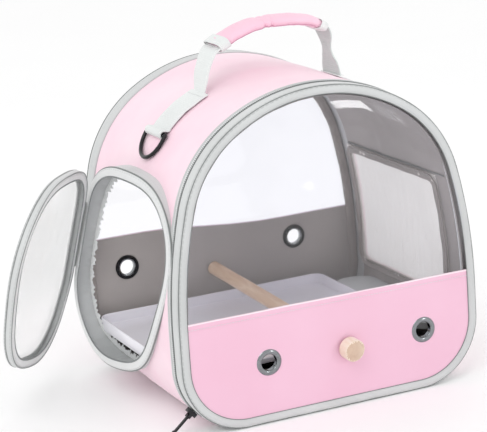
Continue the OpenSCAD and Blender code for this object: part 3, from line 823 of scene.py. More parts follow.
@dataclass(frozen=True)
class Metal:
    """A plated or painted metal with fine scuffs."""

    name: str
    colour: str
    worn: str
    rough: float
    metallic: float = 1.0
    coat: float = 0.0

    def make(self) -> Finish:
        """Build the material."""
        g = Surface(self.name)
        scuff = g.effect("Scuffs", Vector=g.place, Scale=90.0).outputs["Mask"]
        return g.finish(Base_Color=g.blend(g.times(scuff, 0.5), tone(self.colour), tone(self.worn)),
                        Roughness=g.maths("MULTIPLY_ADD", scuff, 0.16, self.rough),
                        Normal=g.bump(g.noise(g.place, 900.0), 0.08, 0.0002),
                        Metallic=self.metallic, Coat_Weight=self.coat)


@dataclass(frozen=True)
class Moulded:
    """A moulded plastic with a faint flow texture and dull marks."""

    name: str
    colour: str
    deep: str
    rough: float
    coat: float = 0.0

    def make(self) -> Finish:
        """Build the material."""
        g = Surface(self.name)
        cloud = g.effect("Clouding", Vector=g.place, Scale=7.0).outputs["Share"]
        scuff = g.effect("Scuffs", Vector=g.place, Scale=60.0).outputs["Mask"]
        return g.finish(Base_Color=g.blend(g.times(cloud, 0.5), tone(self.colour), tone(self.deep)),
                        Roughness=g.maths("MULTIPLY_ADD", scuff, 0.05, self.rough),
                        Normal=g.bump(g.noise(g.place, 600.0, 4.0), 0.12, 0.0003),
                        Coat_Weight=self.coat)


@dataclass(frozen=True)
class Timber:
    """A pale turned hardwood, whose end grain can be darker."""

    name: str
    light: str
    deep: str
    rings: float = 150.0
    end_grain: str = ""

    def make(self) -> Finish:
        """Build the material."""
        g = Surface(self.name)
        grain = g.effect("Timber grain", Vector=g.place, Rings=self.rings).outputs
        tint = g.blend(grain["Tint"], tone(self.light), tone(self.deep))
        if self.end_grain:
            normal = g.node("TexCoord").outputs["Normal"]
            facing = g.maths("ABSOLUTE", g.node("SeparateXYZ", Vector=normal).outputs["Y"])
            share = g.maths("MINIMUM", g.maths("MULTIPLY_ADD", facing, 12.0, -10.6), 1.0)
            worn = g.maths("MULTIPLY_ADD", grain["Tint"], -0.3, 0.95)
            tint = g.blend(g.times(share, worn), tint, tone(self.end_grain))
        return g.finish(Base_Color=tint, Normal=g.bump(grain["Height"], 0.25, 0.0004),
                        Roughness=g.maths("MULTIPLY_ADD", grain["Tint"], 0.12, 0.5))


@dataclass(frozen=True)
class ClearFilm:
    """A clear flexible sheet, with slow ripples, that lets light and shadow through."""

    name: str
    tint: str
    rough: float = 0.04
    milk: float = 0.0
    open_share: float = 0.0

    def make(self) -> Finish:
        """Build the material."""
        g = Surface(self.name)
        rays = g.node("LightPath").outputs
        through = g.maths("MAXIMUM", rays["Is Shadow Ray"], rays["Is Diffuse Ray"])
        mixed = g.tree.nodes.new("ShaderNodeMixShader")
        shaders = (g.shader, g.node("BsdfTransparent", Color=tone(self.tint)))
        g.feed(mixed.inputs[0], g.maths("MAXIMUM", through, self.open_share))
        for socket, made in zip(mixed.inputs[1:], shaders):
            g.feed(socket, made.outputs[0])
        g.feed(g.tree.nodes["Material Output"].inputs["Surface"], mixed.outputs[0])
        return g.finish(Base_Color=tone(self.tint),
                        Normal=g.bump(g.noise(g.place, 16.0), 0.1, 0.004), Roughness=self.rough,
                        Transmission_Weight=1.0 - self.milk, IOR=1.35)


@dataclass(frozen=True)
class Net:
    """A fine knitted net with holes."""

    name: str
    colour: str
    deep: str
    pitch: float = 0.0016

    def make(self) -> Finish:
        """Build the material."""
        g = Surface(self.name)
        holes = g.effect("Net holes", Vector=g.cut_place(), Pitch=self.pitch).outputs["Mask"]
        cloud = g.effect("Clouding", Vector=g.place, Scale=9.0).outputs["Share"]
        return g.finish(Base_Color=g.blend(cloud, tone(self.colour), tone(self.deep)),
                        Alpha=g.maths("SUBTRACT", 1.0, g.times(holes, 0.9)),
                        Normal=g.bump(holes, 0.3, 0.0003), Roughness=0.85, Sheen_Weight=0.2)


class Finishes:
    """Every finish of the carrier, built once."""

    def __init__(self) -> None:
        """Build the shared effects and the materials."""
        build_effects()
        coated, plain, twill, ribs = Weave.COATED, Weave.PLAIN, Weave.TWILL, Weave.RIBS
        self.pink = Cloth("Pink coated cloth", "FBE2EB", "F6CDDD", coated, 900.0, 0.12, 0.55,
                          0.15).make()
        self.pad = Cloth("Pink grip cloth", "F7CFDF", "EDB9CE", coated, 900.0, 0.2, 0.6,
                         0.15).make()
        # A deeper pink for a painted shade line along the handle grip's underside.
        self.painted_shade_pink = Cloth("Deep pink seam", "D79DB6", "C4839F", coated, 900.0, 0.2, 0.7,
                                0.1).make()
        # A paler pink for the hem fold: painted highlight.
        self.hem = Cloth("Pink hem", "FDEEF4", "F9DCE8", coated, 900.0, 0.12, 0.45, 0.15).make()
        self.panel = Cloth("Pink panel cloth", "EDC2D6", "E8B7CC", coated, 900.0, 0.12, 0.5,
                           0.1).make()
        self.lining = Cloth("Grey lining", "B7B1AE", "A5A09E", plain, 900.0, 0.3, 0.85, 0.2).make()
        self.taupe = Cloth("Taupe binding", "ABA4A0", "989290", ribs, 700.0, 0.3, 0.8, 0.2).make()
        self.binding = Cloth("Grey binding", "D0D2D2", "B9BBBB", ribs, 700.0, 0.4, 0.75, 0.3,
                             0.0016, thread="B9BBBB").make()
        self.tape = Cloth("Pale zip tape", "E8E9E9", "D4D6D6", twill, 800.0, 0.35, 0.75, 0.3,
                          0.0016, thread="CFD1D1").make()
        self.gusset = Cloth("Pale gusset", "D4D6D6", "BEC0C0", ribs, 500.0, 0.3, 0.75, 0.3, 0.0022,
                            0.0155, "C2C4C4").make()
        self.inner_gusset = Cloth("Shaded gusset", "C2C4C4", "A5A8A8", plain, 700.0, 0.3, 0.85,
                                  0.2).make()
        # Dark grey for seam lines; along the grooves between parts it is painted shade.
        self.cord = Cloth("Dark seam cord", "8B8F8E", "747877", coated, 900.0, 0.2, 0.7, 0.1).make()
        self.webbing = Cloth("Ribbed webbing", "E9ECEB", "D3D7D6", ribs, 420.0, 0.8, 0.7, 0.3,
                             0.003, 0.041).make()
        self.shaded = Cloth("Shaded webbing", "CEDAD6", "BAC6C2", ribs, 420.0, 0.8, 0.75,
                            0.2).make()
        self.teeth = Moulded("Zip teeth", "8C9090", "747878", 0.45).make()
        self.tray = Moulded("Tray plastic", "F8F6FC", "EBE9F3", 0.2, 0.4).make()
        self.black = Metal("Black painted metal", "17171A", "3A3A3E", 0.32, 0.6, 0.3).make()
        self.steel = Metal("Bright plated steel", "8C8F92", "66696C", 0.14).make()
        self.dark_steel = Metal("Spring steel", "8A8C8F", "5F6164", 0.35).make()
        self.timber = Timber("Pale timber", "F0D6BE", "DDBCA0").make()
        self.knob = Timber("Knob timber", "F4E6D8", "EAD6C2", 120.0, "C9AB93").make()
        self.film = ClearFilm("Clear film", "FBFBFE").make()
        self.frosted = ClearFilm("Frosted film", "FEFEFE", 0.2, 0.1, 0.72).make()
        self.net = Net("Window net", "FFFBF6", "F1ECE6").make()
        self.board = Moulded("Base board", "6F6C6B", "5E5B5A", 0.8).make()


def dress(piece: Piece, material: Finish, body: str = "root", slot: str = "",
          stands_for: Sequence[str] = (), cut_size: Pair | None = None,
          held: str = "stretched", padded: float = 0.0) -> Piece:
    """Finish a piece and tie it to the frame.

    Args:
        piece: the piece.
        material: its finish.
        body: the body that it rides on, or nothing for a piece that spans two bodies, which is then
            left unattached.
        slot: the material slot that its finish comes from; not used.
        stands_for: the nodes that it replaces.
        cut_size: width and length of a sheet's flat cut in metres; not used.
        held: how a sheet is held; not used.
        padded: how full a padded piece is, or 0; not used.

    Returns:
        The piece.
    """
    piece.name = piece.data.name = piece.name.replace(" ", "-")
    piece.data.materials.clear()
    piece.data.materials.append(material)
    if body:
        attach(piece, body)
    if stands_for:
        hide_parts(*stands_for)
    log.info("%s: %d faces on %s", piece.name, len(piece.data.polygons), body or "two bodies")
    return piece


def sew(sheet: Piece, toward: Ways | Sequence[float], thick: float, *look: object,
        **more: object) -> Piece:
    """Turn a sheet the right way, give it its thickness and finish it.

    Args:
        sheet: the sheet.
        toward: the way that its faces look.
        thick: its thickness in millimetres.
        look: what dress takes after the piece.
        more: what dress takes by name.

    Returns:
        The piece.
    """
    face_away(sheet, toward)
    return dress(thicken(sheet, thick), *look, **more)


def paint(node: str, material: Finish) -> None:
    """Give a node of the frame its finish."""
    for place in frame["nodes"][node].material_slots:
        place.material = material
    log.info("%s keeps its shape", node)


def swap(node: str, finish: Finish, body: str, slot: str, bevel: float,
         how: str = "rounded") -> None:
    """Put a copy of a node with rounded edges in its place.

    Args:
        node: the node.
        finish: the copy's finish.
        body: the body that it rides on.
        slot: the material slot that its finish comes from, passed on to dress, which does not use
            it.
        bevel: size of its rounded edges in millimetres.
        how: last word of the copy's name.
    """
    source = frame["nodes"][node]
    piece = link(f"{node.replace('_', ' ')} {how}", source.data.copy())
    piece.matrix_world = source.matrix_world.copy()
    settle(piece)
    close_up(piece)
    with edited(piece):
        bpy.ops.mesh.dissolve_limited(angle_limit=math.radians(2))
    apply_modifier(piece, "BEVEL", width=bevel * MM, segments=3, limit_method="ANGLE",
                   angle_limit=math.radians(40))
    dress(smooth(piece, 35), finish, body, slot, [node])


# ---- sizes shared by the sub-assemblies ----
@dataclass
class Plan:
    """The carrier's outlines and the sizes that its pieces share, in millimetres."""

    width: float = 360.0
    height: float = 360.0
    corner: float = 74.0
    side_top: float = 110.0
    side_r: float = 560.0
    lean: float = 14.0
    shoulder: float = 140.0
    ring_out: float = 9.5
    ring_turn: float = 3.0
    ring_lean: float = 0.09
    bow: float = 28.0
    door_open: float = 42.0
    door_middle: Pair = (-8.0, 155.0)
    handle_y: float = -12.0
    body: Outline = field(init=False)
    rim: Outline = field(init=False)
    leaf: Outline = field(init=False)

    def __post_init__(self) -> None:
        """Work out the outlines from the sizes."""
        lean = math.radians(self.lean)
        cx = self.width / 2 - self.side_r + (self.side_r - self.shoulder) * math.cos(lean)
        cz = self.side_top + (self.side_r - self.shoulder) * math.sin(lean)
        q = (self.height - cz - self.shoulder) / cx
        self.crown_a = 90 - 2 * math.degrees(math.atan(q))
        self.crown_r = self.shoulder + cx / math.cos(math.radians(self.crown_a))
        self.shoulder_c = (cx, cz)
        k, side, a = self.width / 2 - self.corner, self.width / 2 - self.side_r, self.crown_a
        arcs = [(k, self.corner, self.corner, -90, 0),
                (side, self.side_top, self.side_r, 0, self.lean),
                (cx, cz, self.shoulder, self.lean, a),
                (0, self.height - self.crown_r, self.crown_r, a, 180 - a),
                (-cx, cz, self.shoulder, 180 - a, 180 - self.lean),
                (-side, self.side_top, self.side_r, 180 - self.lean, 180),
                (-k, self.corner, self.corner, 180, 270)]
        self.body = Outline.of_arcs(arcs, Matrix(((1, 0, 0), (0, 0, 1), (0, 1, 0))).to_4x4())

        centres = np.array([[0, 124], [58, 199], [-28, 187], [-68, 106]], float)
        radii = [78.0, 65.0, 77.0, 71.0]
        outs = []
        for i in range(4):
            leg = centres[(i + 1) % 4] - centres[i]
            turn = math.degrees(math.asin((radii[i] - radii[(i + 1) % 4]) / np.linalg.norm(leg)))
            outs.append(math.degrees(math.atan2(leg[1], leg[0])) - 90 + turn)
        ring = [(*centres[i], radii[i], outs[i - 1], outs[i - 1] + (outs[i] - outs[i - 1]) % 360)
                for i in range(4)]
        turn = Matrix.Rotation(math.radians(180 + self.ring_turn), 4, "Z")
        place = Matrix.Translation((-(self.width / 2 + self.ring_out), 0, 0)) @ turn
        axes = Matrix(((0, 0, 1), (1, 0, 0), (0, 1, 0))).to_4x4()
        self.rim = Outline.of_arcs(ring, place @ axes).softened(self.bow, outs[2], self.ring_lean)
        way = math.radians(outs[2])
        out = np.array([math.cos(way), math.sin(way)])
        low, top = centres[3] + radii[3] * out, centres[2] + radii[2] * out
        self.hinge = (low, top)
        pin = Vector((0.3, low[0], low[1]))
        swing = Matrix.Rotation(-math.radians(self.door_open), 4,
                                Vector((0, top[0] - low[0], top[1] - low[1])))
        self.leaf_turn = place @ Matrix.Translation(pin) @ swing @ Matrix.Translation(-pin)
        self.leaf = replace(self.rim, frame=self.leaf_turn @ axes)
        self.rim_place = place

    def s_of(self, z: float) -> float:
        """Distance along the body's outline to a height on its right side."""
        right = self.body.points[:, 0] > 0
        heights, run = self.body.points[right, 1], self.body.run[right]
        order = np.argsort(heights)
        return float(np.interp(z, heights[order], run[order]))

    def swell(self, s: Rows, y: Rows) -> Rows:
        """How far the soft shell stands out of its outline."""
        ends = np.clip(1 - (np.abs(y) / SOFT_HALF) ** 6, 0, 1)
        top = self.s_of(355) + 70
        dent = 3.0 * np.exp(-((s - top - 48) / 34) ** 2 - ((y - 34) / 26) ** 2)
        dent += 1.6 * np.exp(-((s - top + 150) / 60) ** 2 - ((y + 60) / 30) ** 2)
        return ends * (0.8 * waves(s / 330, y / 190, 1.3) - dent + 0.5)


# ---- sub-assemblies ----
@dataclass
class Assembly:
    """A group of pieces that is made from the plan with the finishes."""

    plan: Plan
    finishes: Finishes


@dataclass
class Shell(Assembly):
    """The padded cover, its lining, base, side window and trims."""

    half: float = 118.0
    net_y: Pair = (-88.0, 114.0)
    net_z: Pair = (82.0, 221.0)
    net_corner: float = 10.0
    hem_over: float = 7.5
    hem_wide: float = 8.4

    def cutters(self) -> list[Piece]:
        """The shapes of the side door's way and of the net window."""
        way = self.plan.rim.prism("way", 3.4)
        turn = np.linspace(0, TAU, 40, endpoint=False)
        (y0, y1), (z0, z1) = self.net_y, self.net_z
        c, d = np.cos(turn), np.sin(turn)
        r = self.net_corner
        y = (y0 + y1) / 2 + np.sign(c) * ((y1 - y0) / 2 - r) + r * c
        z = (z0 + z1) / 2 + np.sign(d) * ((z1 - z0) / 2 - r) + r * d
        loop = np.stack([np.zeros(40), y, z], 1)
        return [way, block("window way", loop + [90, 0, 0], loop + [210, 0, 0])]

    def build(self) -> None:
        """Make the shell's pieces."""
        p, f, body = self.plan, self.finishes, self.plan.body
        tools = self.cutters()
        rows = [(y, 0.0) for y in np.linspace(-self.half + 0.2, self.half - 0.2, 45)]
        cover = body.band("shell cover", rows, 1.9, 6.0, p.swell)
        size = (body.length * MM, 0.236)
        dress(cut(cover, tools), f.pink, "root", "pink_cloth", ["shell_cover"], size)

        def inner(s: Rows, y: Rows) -> Rows:
            """The lining follows the cover and hangs in slight folds."""
            fold = np.clip(waves(y / 60, s / 400, 4.2), 0, 1) * 1.2
            return p.swell(s, y) - fold * np.clip(1 - (np.abs(y) / SOFT_HALF) ** 4, 0, 1)

        rows = [(y, 2.4) for y in np.linspace(-self.half + 0.2, self.half - 0.2, 60)]
        lining = body.band("shell lining", rows, 1.2, 6.0, inner)
        dress(cut(lining, tools), f.lining, "root", "grey_lining", ["shell_lining"], size)

        tape = body.band("front zip tape",
                         [(-125.1, 0.5), (-124.4, 0.0), (-121, -0.15), (-118.2, 0.1)], 3.4)
        dress(cut(tape, tools[:1]), f.tape, "root", "pale_band", ["front_zip_tape"],
              (body.length * MM, 0.008))
        way = p.rim.prism("trim way", -0.2)
        for name, y in (("front piping", -119.2), ("rear piping", 119.6)):
            dress(cut(body.cord(name, y, -0.4, 1.25), [way]), f.binding, "root", "grey_binding",
                  [name.replace(" ", "_")])
        # Painted shade: a dark line where the cover meets the front piping.
        seam = body.cord("cover seam", -117.7, -0.1, 0.5)
        dress(cut(seam, [way]), f.cord, "root", "grey_binding")
        drop([way])
        self.base()
        self.side_window()
        rear = body.band("rear gusset",
                         [(118.1, 0.2), (119.5, -0.2), (126, -0.5), (136, -0.5), (141.5, 0.0),
                          (143.2, 0.9), (143.7, 2.0)], 2.3, fine=12)
        dress(cut(rear, tools[:1]), f.gusset, "root", "pale_band", ["rear_gusset"],
              (body.length * MM, 0.027))
        drop(tools)

    def base(self) -> None:
        """Make the sill under the front panel, and finish the board."""
        f, half, wide = self.finishes, 105.6, 16.7

        def place(u: Rows, v: Rows) -> Rows:
            """Points of the sill."""
            x, y = (2 * u - 1) * half, -142.2 + wide * v
            return np.stack([x, y, 0.25 + 0.15 * (1 + np.sin(x / 9) * np.sin(v * math.pi))], 1)

        size = (2 * half * MM, wide * MM)
        sill = lay_sheet("front sill", 48, 6, place, size)
        sew(sill, [0, 0, -1.0], 1.4, f.binding, "root", "grey_binding", ["front_sill"], size)
        paint("floor_board", f.board)

    def side_window(self) -> None:
        """Make the net and its hem in the right wall."""
        p, f, body = self.plan, self.finishes, self.plan.body
        over, wide, r = self.hem_over, self.hem_wide, self.net_corner + self.hem_over
        s0, s1 = p.s_of(self.net_z[0] - over), p.s_of(self.net_z[1] + over)
        y0, y1 = self.net_y[0] - over, self.net_y[1] + over

        def folds(u: Rows, v: Rows) -> Rows:
            """Soft upright folds, still at the edges."""
            still = np.clip(np.minimum(np.minimum(u, 1 - u), np.minimum(v, 1 - v)) * 9, 0, 1)
            slow, quick = waves(v * 3.6, u * 0.7, 2.1), waves(v * 11, u * 0.8, 5.0)
            return still * (3.0 + 2.1 * slow + 1.3 * quick)

        def place(u: Rows, v: Rows) -> Rows:
            """Points of the net."""
            plane, _ = body.at(s0 + (s1 - s0) * u, 4.5 + np.maximum(folds(u, v), 0))
            return body.world(plane, y0 + (y1 - y0) * v)

        size = ((s1 - s0) * MM, (y1 - y0) * MM)
        net = lay_sheet("side net", 60, 90, place, size)
        face_away(net, [1.0, 0, 0])
        dress(smooth(net, 80), f.net, "root", "net", ["side_mesh"], size, held="gathered")

        turns = ((s1 - r, y1 - r, 0), (s0 + r, y1 - r, 90), (s0 + r, y0 + r, 180),
                 (s1 - r, y0 + r, 270))
        chart = Outline.of_arcs([(s, y, r, a, a + 90) for s, y, a in turns], Matrix.Identity(4))

        def hem_place(u: Rows, v: Rows) -> Rows:
            """Points of the hem."""
            spot, _ = chart.at(u * chart.length, wide * v)
            deep = 7.4 - 1.6 * np.sin(v * math.pi) + 0.3 * np.sin(u * chart.length / 7)
            plane, _ = body.at(spot[:, 0], deep)
            return body.world(plane, spot[:, 1])

        size = (chart.length * MM, wide * MM)
        hem = lay_sheet("net hem", 130, 6, hem_place, size, merge=True)
        sew(hem, [-1.0, 0, 0], 0.8, f.taupe, "root", "grey_binding", ["mesh_hem"], size)

        def seam_place(u: Rows, v: Rows) -> Rows:
            """Points of the dark seam above the net."""
            y, z, a = -115 + 230 * u, self.net_z[1] + 9, v * TAU
            x = body.half_width(z + 0 * y, 4.8)
            return np.stack([x - 0.7 * np.cos(a), y, z + 0.7 * np.sin(a)], 1)

        seam = lay_sheet("lining seam", 60, 8, seam_place, (0.23, 0.004), merge=True)
        close_up(seam, outward=True)
        dress(smooth(seam, 80), f.cord, "root", "grey_binding")


@dataclass
class EndPanel(Assembly):
    """The front or rear end: cloth below, clear sheet above, bindings and eyelets."""

    name: str
    sign: float
    top: float
    body: str
    eyelets: tuple[Pair, ...]
    perch: Pair
    droop: float = 0.0
    face: float = 144.0
    inset: float = 2.8
    cloth_wide: float = 355.0
    film_wide: float = 350.0
    dome: float = 8.5
    window_r: float = 177.0
    window_z: float = 176.0

    def top_at(self, x: Rows) -> Rows:
        """Height of the cloth's upper edge, which sags towards one side."""
        t = np.clip((x + 110) / 170, 0, 1)
        return self.top + self.droop * (1 / 3 - ease(t))

    def field_sheet(self, name: str, high: float, depth: float, puff: float) -> Piece:
        """A cloth across the end, from just above its lowest edge up.

        Args:
            name: the piece's name.
            high: height of its upper edge.
            depth: depth of its outer face.
            puff: how far its middle swells outwards.

        Returns:
            The sheet, facing outwards.
        """
        outline, low = self.plan.body, self.inset

        def place(u: Rows, v: Rows) -> Rows:
            """Points of the sheet."""
            z = low + (self.top_at((2 * u - 1) * 170) + high - self.top - low) * v
            x = (2 * u - 1) * outline.half_width(z, self.inset)
            edge = np.minimum(np.minimum(u, 1 - u) * 8, v * 8)
            swell = puff * np.clip(edge, 0, 1) * (0.7 + 0.3 * waves(x / 260, z / 200, 3.7))
            return np.stack([x, self.sign * (depth + swell), z], 1)

        sheet = lay_sheet(name, 40, 20, place, (self.cloth_wide * MM, (high - low) * MM))
        face_away(sheet, [0, self.sign, 0])
        return sheet

    def holes(self) -> list[Piece]:
        """Shapes that cut the eyelets' and the perch's holes."""
        out = []
        for (x, z), r in [(e, 11.2) for e in self.eyelets] + [(self.perch, 3.4)]:
            bpy.ops.mesh.primitive_cylinder_add(vertices=48, radius=r * MM, depth=0.03,
                                                location=(x * MM, self.sign * 0.143, z * MM),
                                                rotation=(math.pi / 2, 0, 0))
            settle(bpy.context.object)
            out.append(bpy.context.object)
        return out

    def build(self) -> None:
        """Make the end's pieces."""
        p, f, sg, n = self.plan, self.finishes, self.sign, self.name
        body, tools = p.body, self.holes()
        size = (self.cloth_wide * MM, self.top * MM)
        cloth = thicken(self.field_sheet(f"{n} panel", self.top, self.face, 0.9), 2.2)
        dress(cut(cloth, tools), f.panel, self.body, "pink_cloth", [f"{n}_panel"], size)
        back = thicken(self.field_sheet(f"{n} lining", self.top + 0.2, self.face - 2.9, 0.0), 0.5)
        dress(cut(back, tools), f.lining, self.body, "grey_lining", [f"{n}_lining"], size)
        drop(tools)
        self.hem()
        self.window()
        length = body.length * MM
        folded = ((140.6, 12.6), (139.0, 12.9), (136.6, 10.5), (135.9, 7.0), (136.1, 3.4),
                  (137.2, 2.7))
        inner = body.band(f"{n} inner binding", [(sg * y, inset) for y, inset in folded], 0.0, 5.0,
                          lambda s, d: 0.35 * waves(s / 55, d / 20, 3.0), fine=14)
        sew(inner, [0, -sg, 0], 0.8, f.taupe, self.body, "grey_binding", [f"{n}_inner_binding"],
            (length, 0.0135))
        rolled = ((144.3, 0.9), (145.1, 1.1), (146.3, 2.6), (146.7, 5.0), (146.2, 7.4),
                  (145.1, 9.0), (144.6, 9.6))
        roll = body.band(f"{n} binding", [(sg * y, inset) for y, inset in rolled], 0.0, 4.0,
                         lambda s, d: 0.12 * np.sin(s / 17) + 0.1 * np.sin(s / 5.3), fine=12)
        dress(thicken(roll, 0.6), f.binding, self.body, "grey_binding", [f"{n}_binding"],
              (length, 0.0105))
        # Painted shade: dark lines in the grooves at the binding's outer and inner edges.
        for name, y, inset, radius in (("seam cord", 144.2, 0.55, 0.6),
                                       ("panel seam", 144.6, 9.9, 0.45)):
            seam = body.cord(f"{n} {name}", sg * y, inset, radius)
            dress(seam, f.cord, self.body, "grey_binding")
        paint(f"{n}_hoop", f.dark_steel)
        for x, z in self.eyelets:
            self.eyelet(x, z)

    def hem(self) -> None:
        """Make the folded top edge of the cloth and its stitches."""
        p, f, sg = self.plan, self.finishes, self.sign
        half = float(p.body.half_width(np.array([self.top]), 3.4)[0])

        def place(u: Rows, v: Rows) -> Rows:
            """Points of the fold."""
            a, x = TAU * v, (2 * u - 1) * half
            z = self.top_at(x) + 1.1 * np.cos(a) + 0.35 * waves(x / 160, 0 * x, 1.0)
            return np.stack([x, sg * (143.3 + 1.5 * np.sin(a)), z], 1)

        fold = lay_sheet(f"{self.name} hem", 90, 10, place, (2 * half * MM, 0.008), merge=True)
        close_up(fold, outward=True)
        # The fold takes the paler hem pink, a painted highlight along the top edge.
        dress(smooth(fold, 80), f.hem, self.body, "pink_cloth")
        seats = [Matrix.Translation((x * MM, sg * 0.14495, (float(self.top_at(x)) - 5.5) * MM))
                 for x in np.arange(-half + 8, half - 7, 3.4)]
        thread = repeat(f"{self.name} hem stitches", pellet((2.3, 0.55, 0.5), 0.16), seats)
        dress(thread, f.webbing, self.body, "pink_cloth")

    def window(self) -> None:
        """Make the clear sheet."""
        p, f, sg = self.plan, self.finishes, self.sign

        def bulge(x: Rows, z: Rows) -> Rows:
            """The slow buckles of a clear sheet that is held by its edge."""
            inside = self.window_r - np.hypot(x, np.maximum(z - self.window_z, 0))
            inside = np.maximum(inside, 0)
            above = np.clip((z - self.top) / 40, 0, 1)
            dome = self.dome * (1 - np.exp(-inside / 23))
            return sg * above * (dome + np.clip(inside / 40, 0, 1) * 0.9
                                 * waves(x / 150, z / 120, 0.6))

        film = p.body.disc(f"{self.name} window", 2.9, sg * 141.7, bulge, self.top - 3 - self.droop,
                           rings=26, step=5.0)
        face_away(film, [0, sg, 0])
        size = (self.film_wide * MM, (p.height - self.top) * MM)
        dress(thicken(film, 0.45), f.film, self.body, "clear_sheet", [f"{self.name}_window"], size)

    def eyelet(self, x: float, z: float) -> None:
        """Make one eyelet and its washer by turning their sections."""
        f, sg = self.finishes, self.sign
        side = "left" if x < 0 else "right"
        rolled = soft_line([(9.0, -4.6), (9.0, -1.0), (9.0, 0.7), (9.7, 1.55), (11.2, 2.0),
                            (12.8, 1.85), (14.2, 1.2), (15.0, 0.3), (14.8, 0.05), (11.0, 0.05),
                            (10.8, -1.0), (10.8, -4.6), (9.9, -4.75), (9.0, -4.6)], 44)
        flat = np.array([(11.1, -3.25), (14.3, -3.25), (14.6, -3.6), (14.6, -4.4), (14.3, -4.8),
                         (11.1, -4.8), (11.1, -3.25)])
        for kind, section in (("eyelet", rolled), ("washer", flat)):
            def place(u: Rows, v: Rows, line: Rows = section) -> Rows:
                """Points of the turned shape."""
                k = np.rint(v * (len(line) - 1)).astype(int)
                a, r = u * TAU, line[k, 0]
                return np.stack([x + r * np.cos(a), sg * (self.face + line[k, 1]),
                                 z + r * np.sin(a)], 1)

            ring = lay_sheet(f"{self.name} {side} {kind}", 72, len(section) - 1, place,
                             (0.07, 0.02), True)
            close_up(ring, outward=True)
            dress(smooth(ring, 50), f.steel if kind == "eyelet" else f.black, self.body,
                  "eyelet_metal", [f"{self.name}_{kind}s"])


@dataclass
class FrontZip(Assembly):
    """The front end's side band, both rows of teeth, and the slider with its pull."""

    def build(self) -> None:
        """Make the pieces."""
        f, body = self.finishes, self.plan.body
        gusset = body.band("front gusset",
                           [(-126.6, 0.5), (-127.4, -0.1), (-132, -0.5), (-139, -0.5), (-142, 0.0),
                            (-143.3, 0.9), (-143.8, 2.0)], 0.0, 5.0, fine=12)
        dress(thicken(gusset, 2.2), f.gusset, "front_panel_body", "pale_band", ["front_gusset"],
              (body.length * MM, 0.019))
        for name, y, inset, owner, node in (
                ("front teeth", -125.2, -0.5, "root", "front_zip_teeth"),
                ("panel teeth", -126.5, -0.6, "front_panel_body", "panel_teeth")):
            seats = body.seats(y, inset, 2.2, keep=lambda q: q[:, 1] > 17)
            row = repeat(name, pellet((1.25, 1.5, 1.3), 0.3), seats)
            dress(row, f.teeth, owner, "zip_teeth", [node])
        # Painted shade: a dark line in the gap between the two rows of teeth.
        line = body.cord("front zip gap", -125.85, 0.9, 0.75)
        dress(line, f.cord, "root", "grey_binding")
        swap("front_slider", f.black, "root", "black_metal", 0.6)
        swap("front_pull", f.black, "front_pull_body", "black_metal", 0.5)


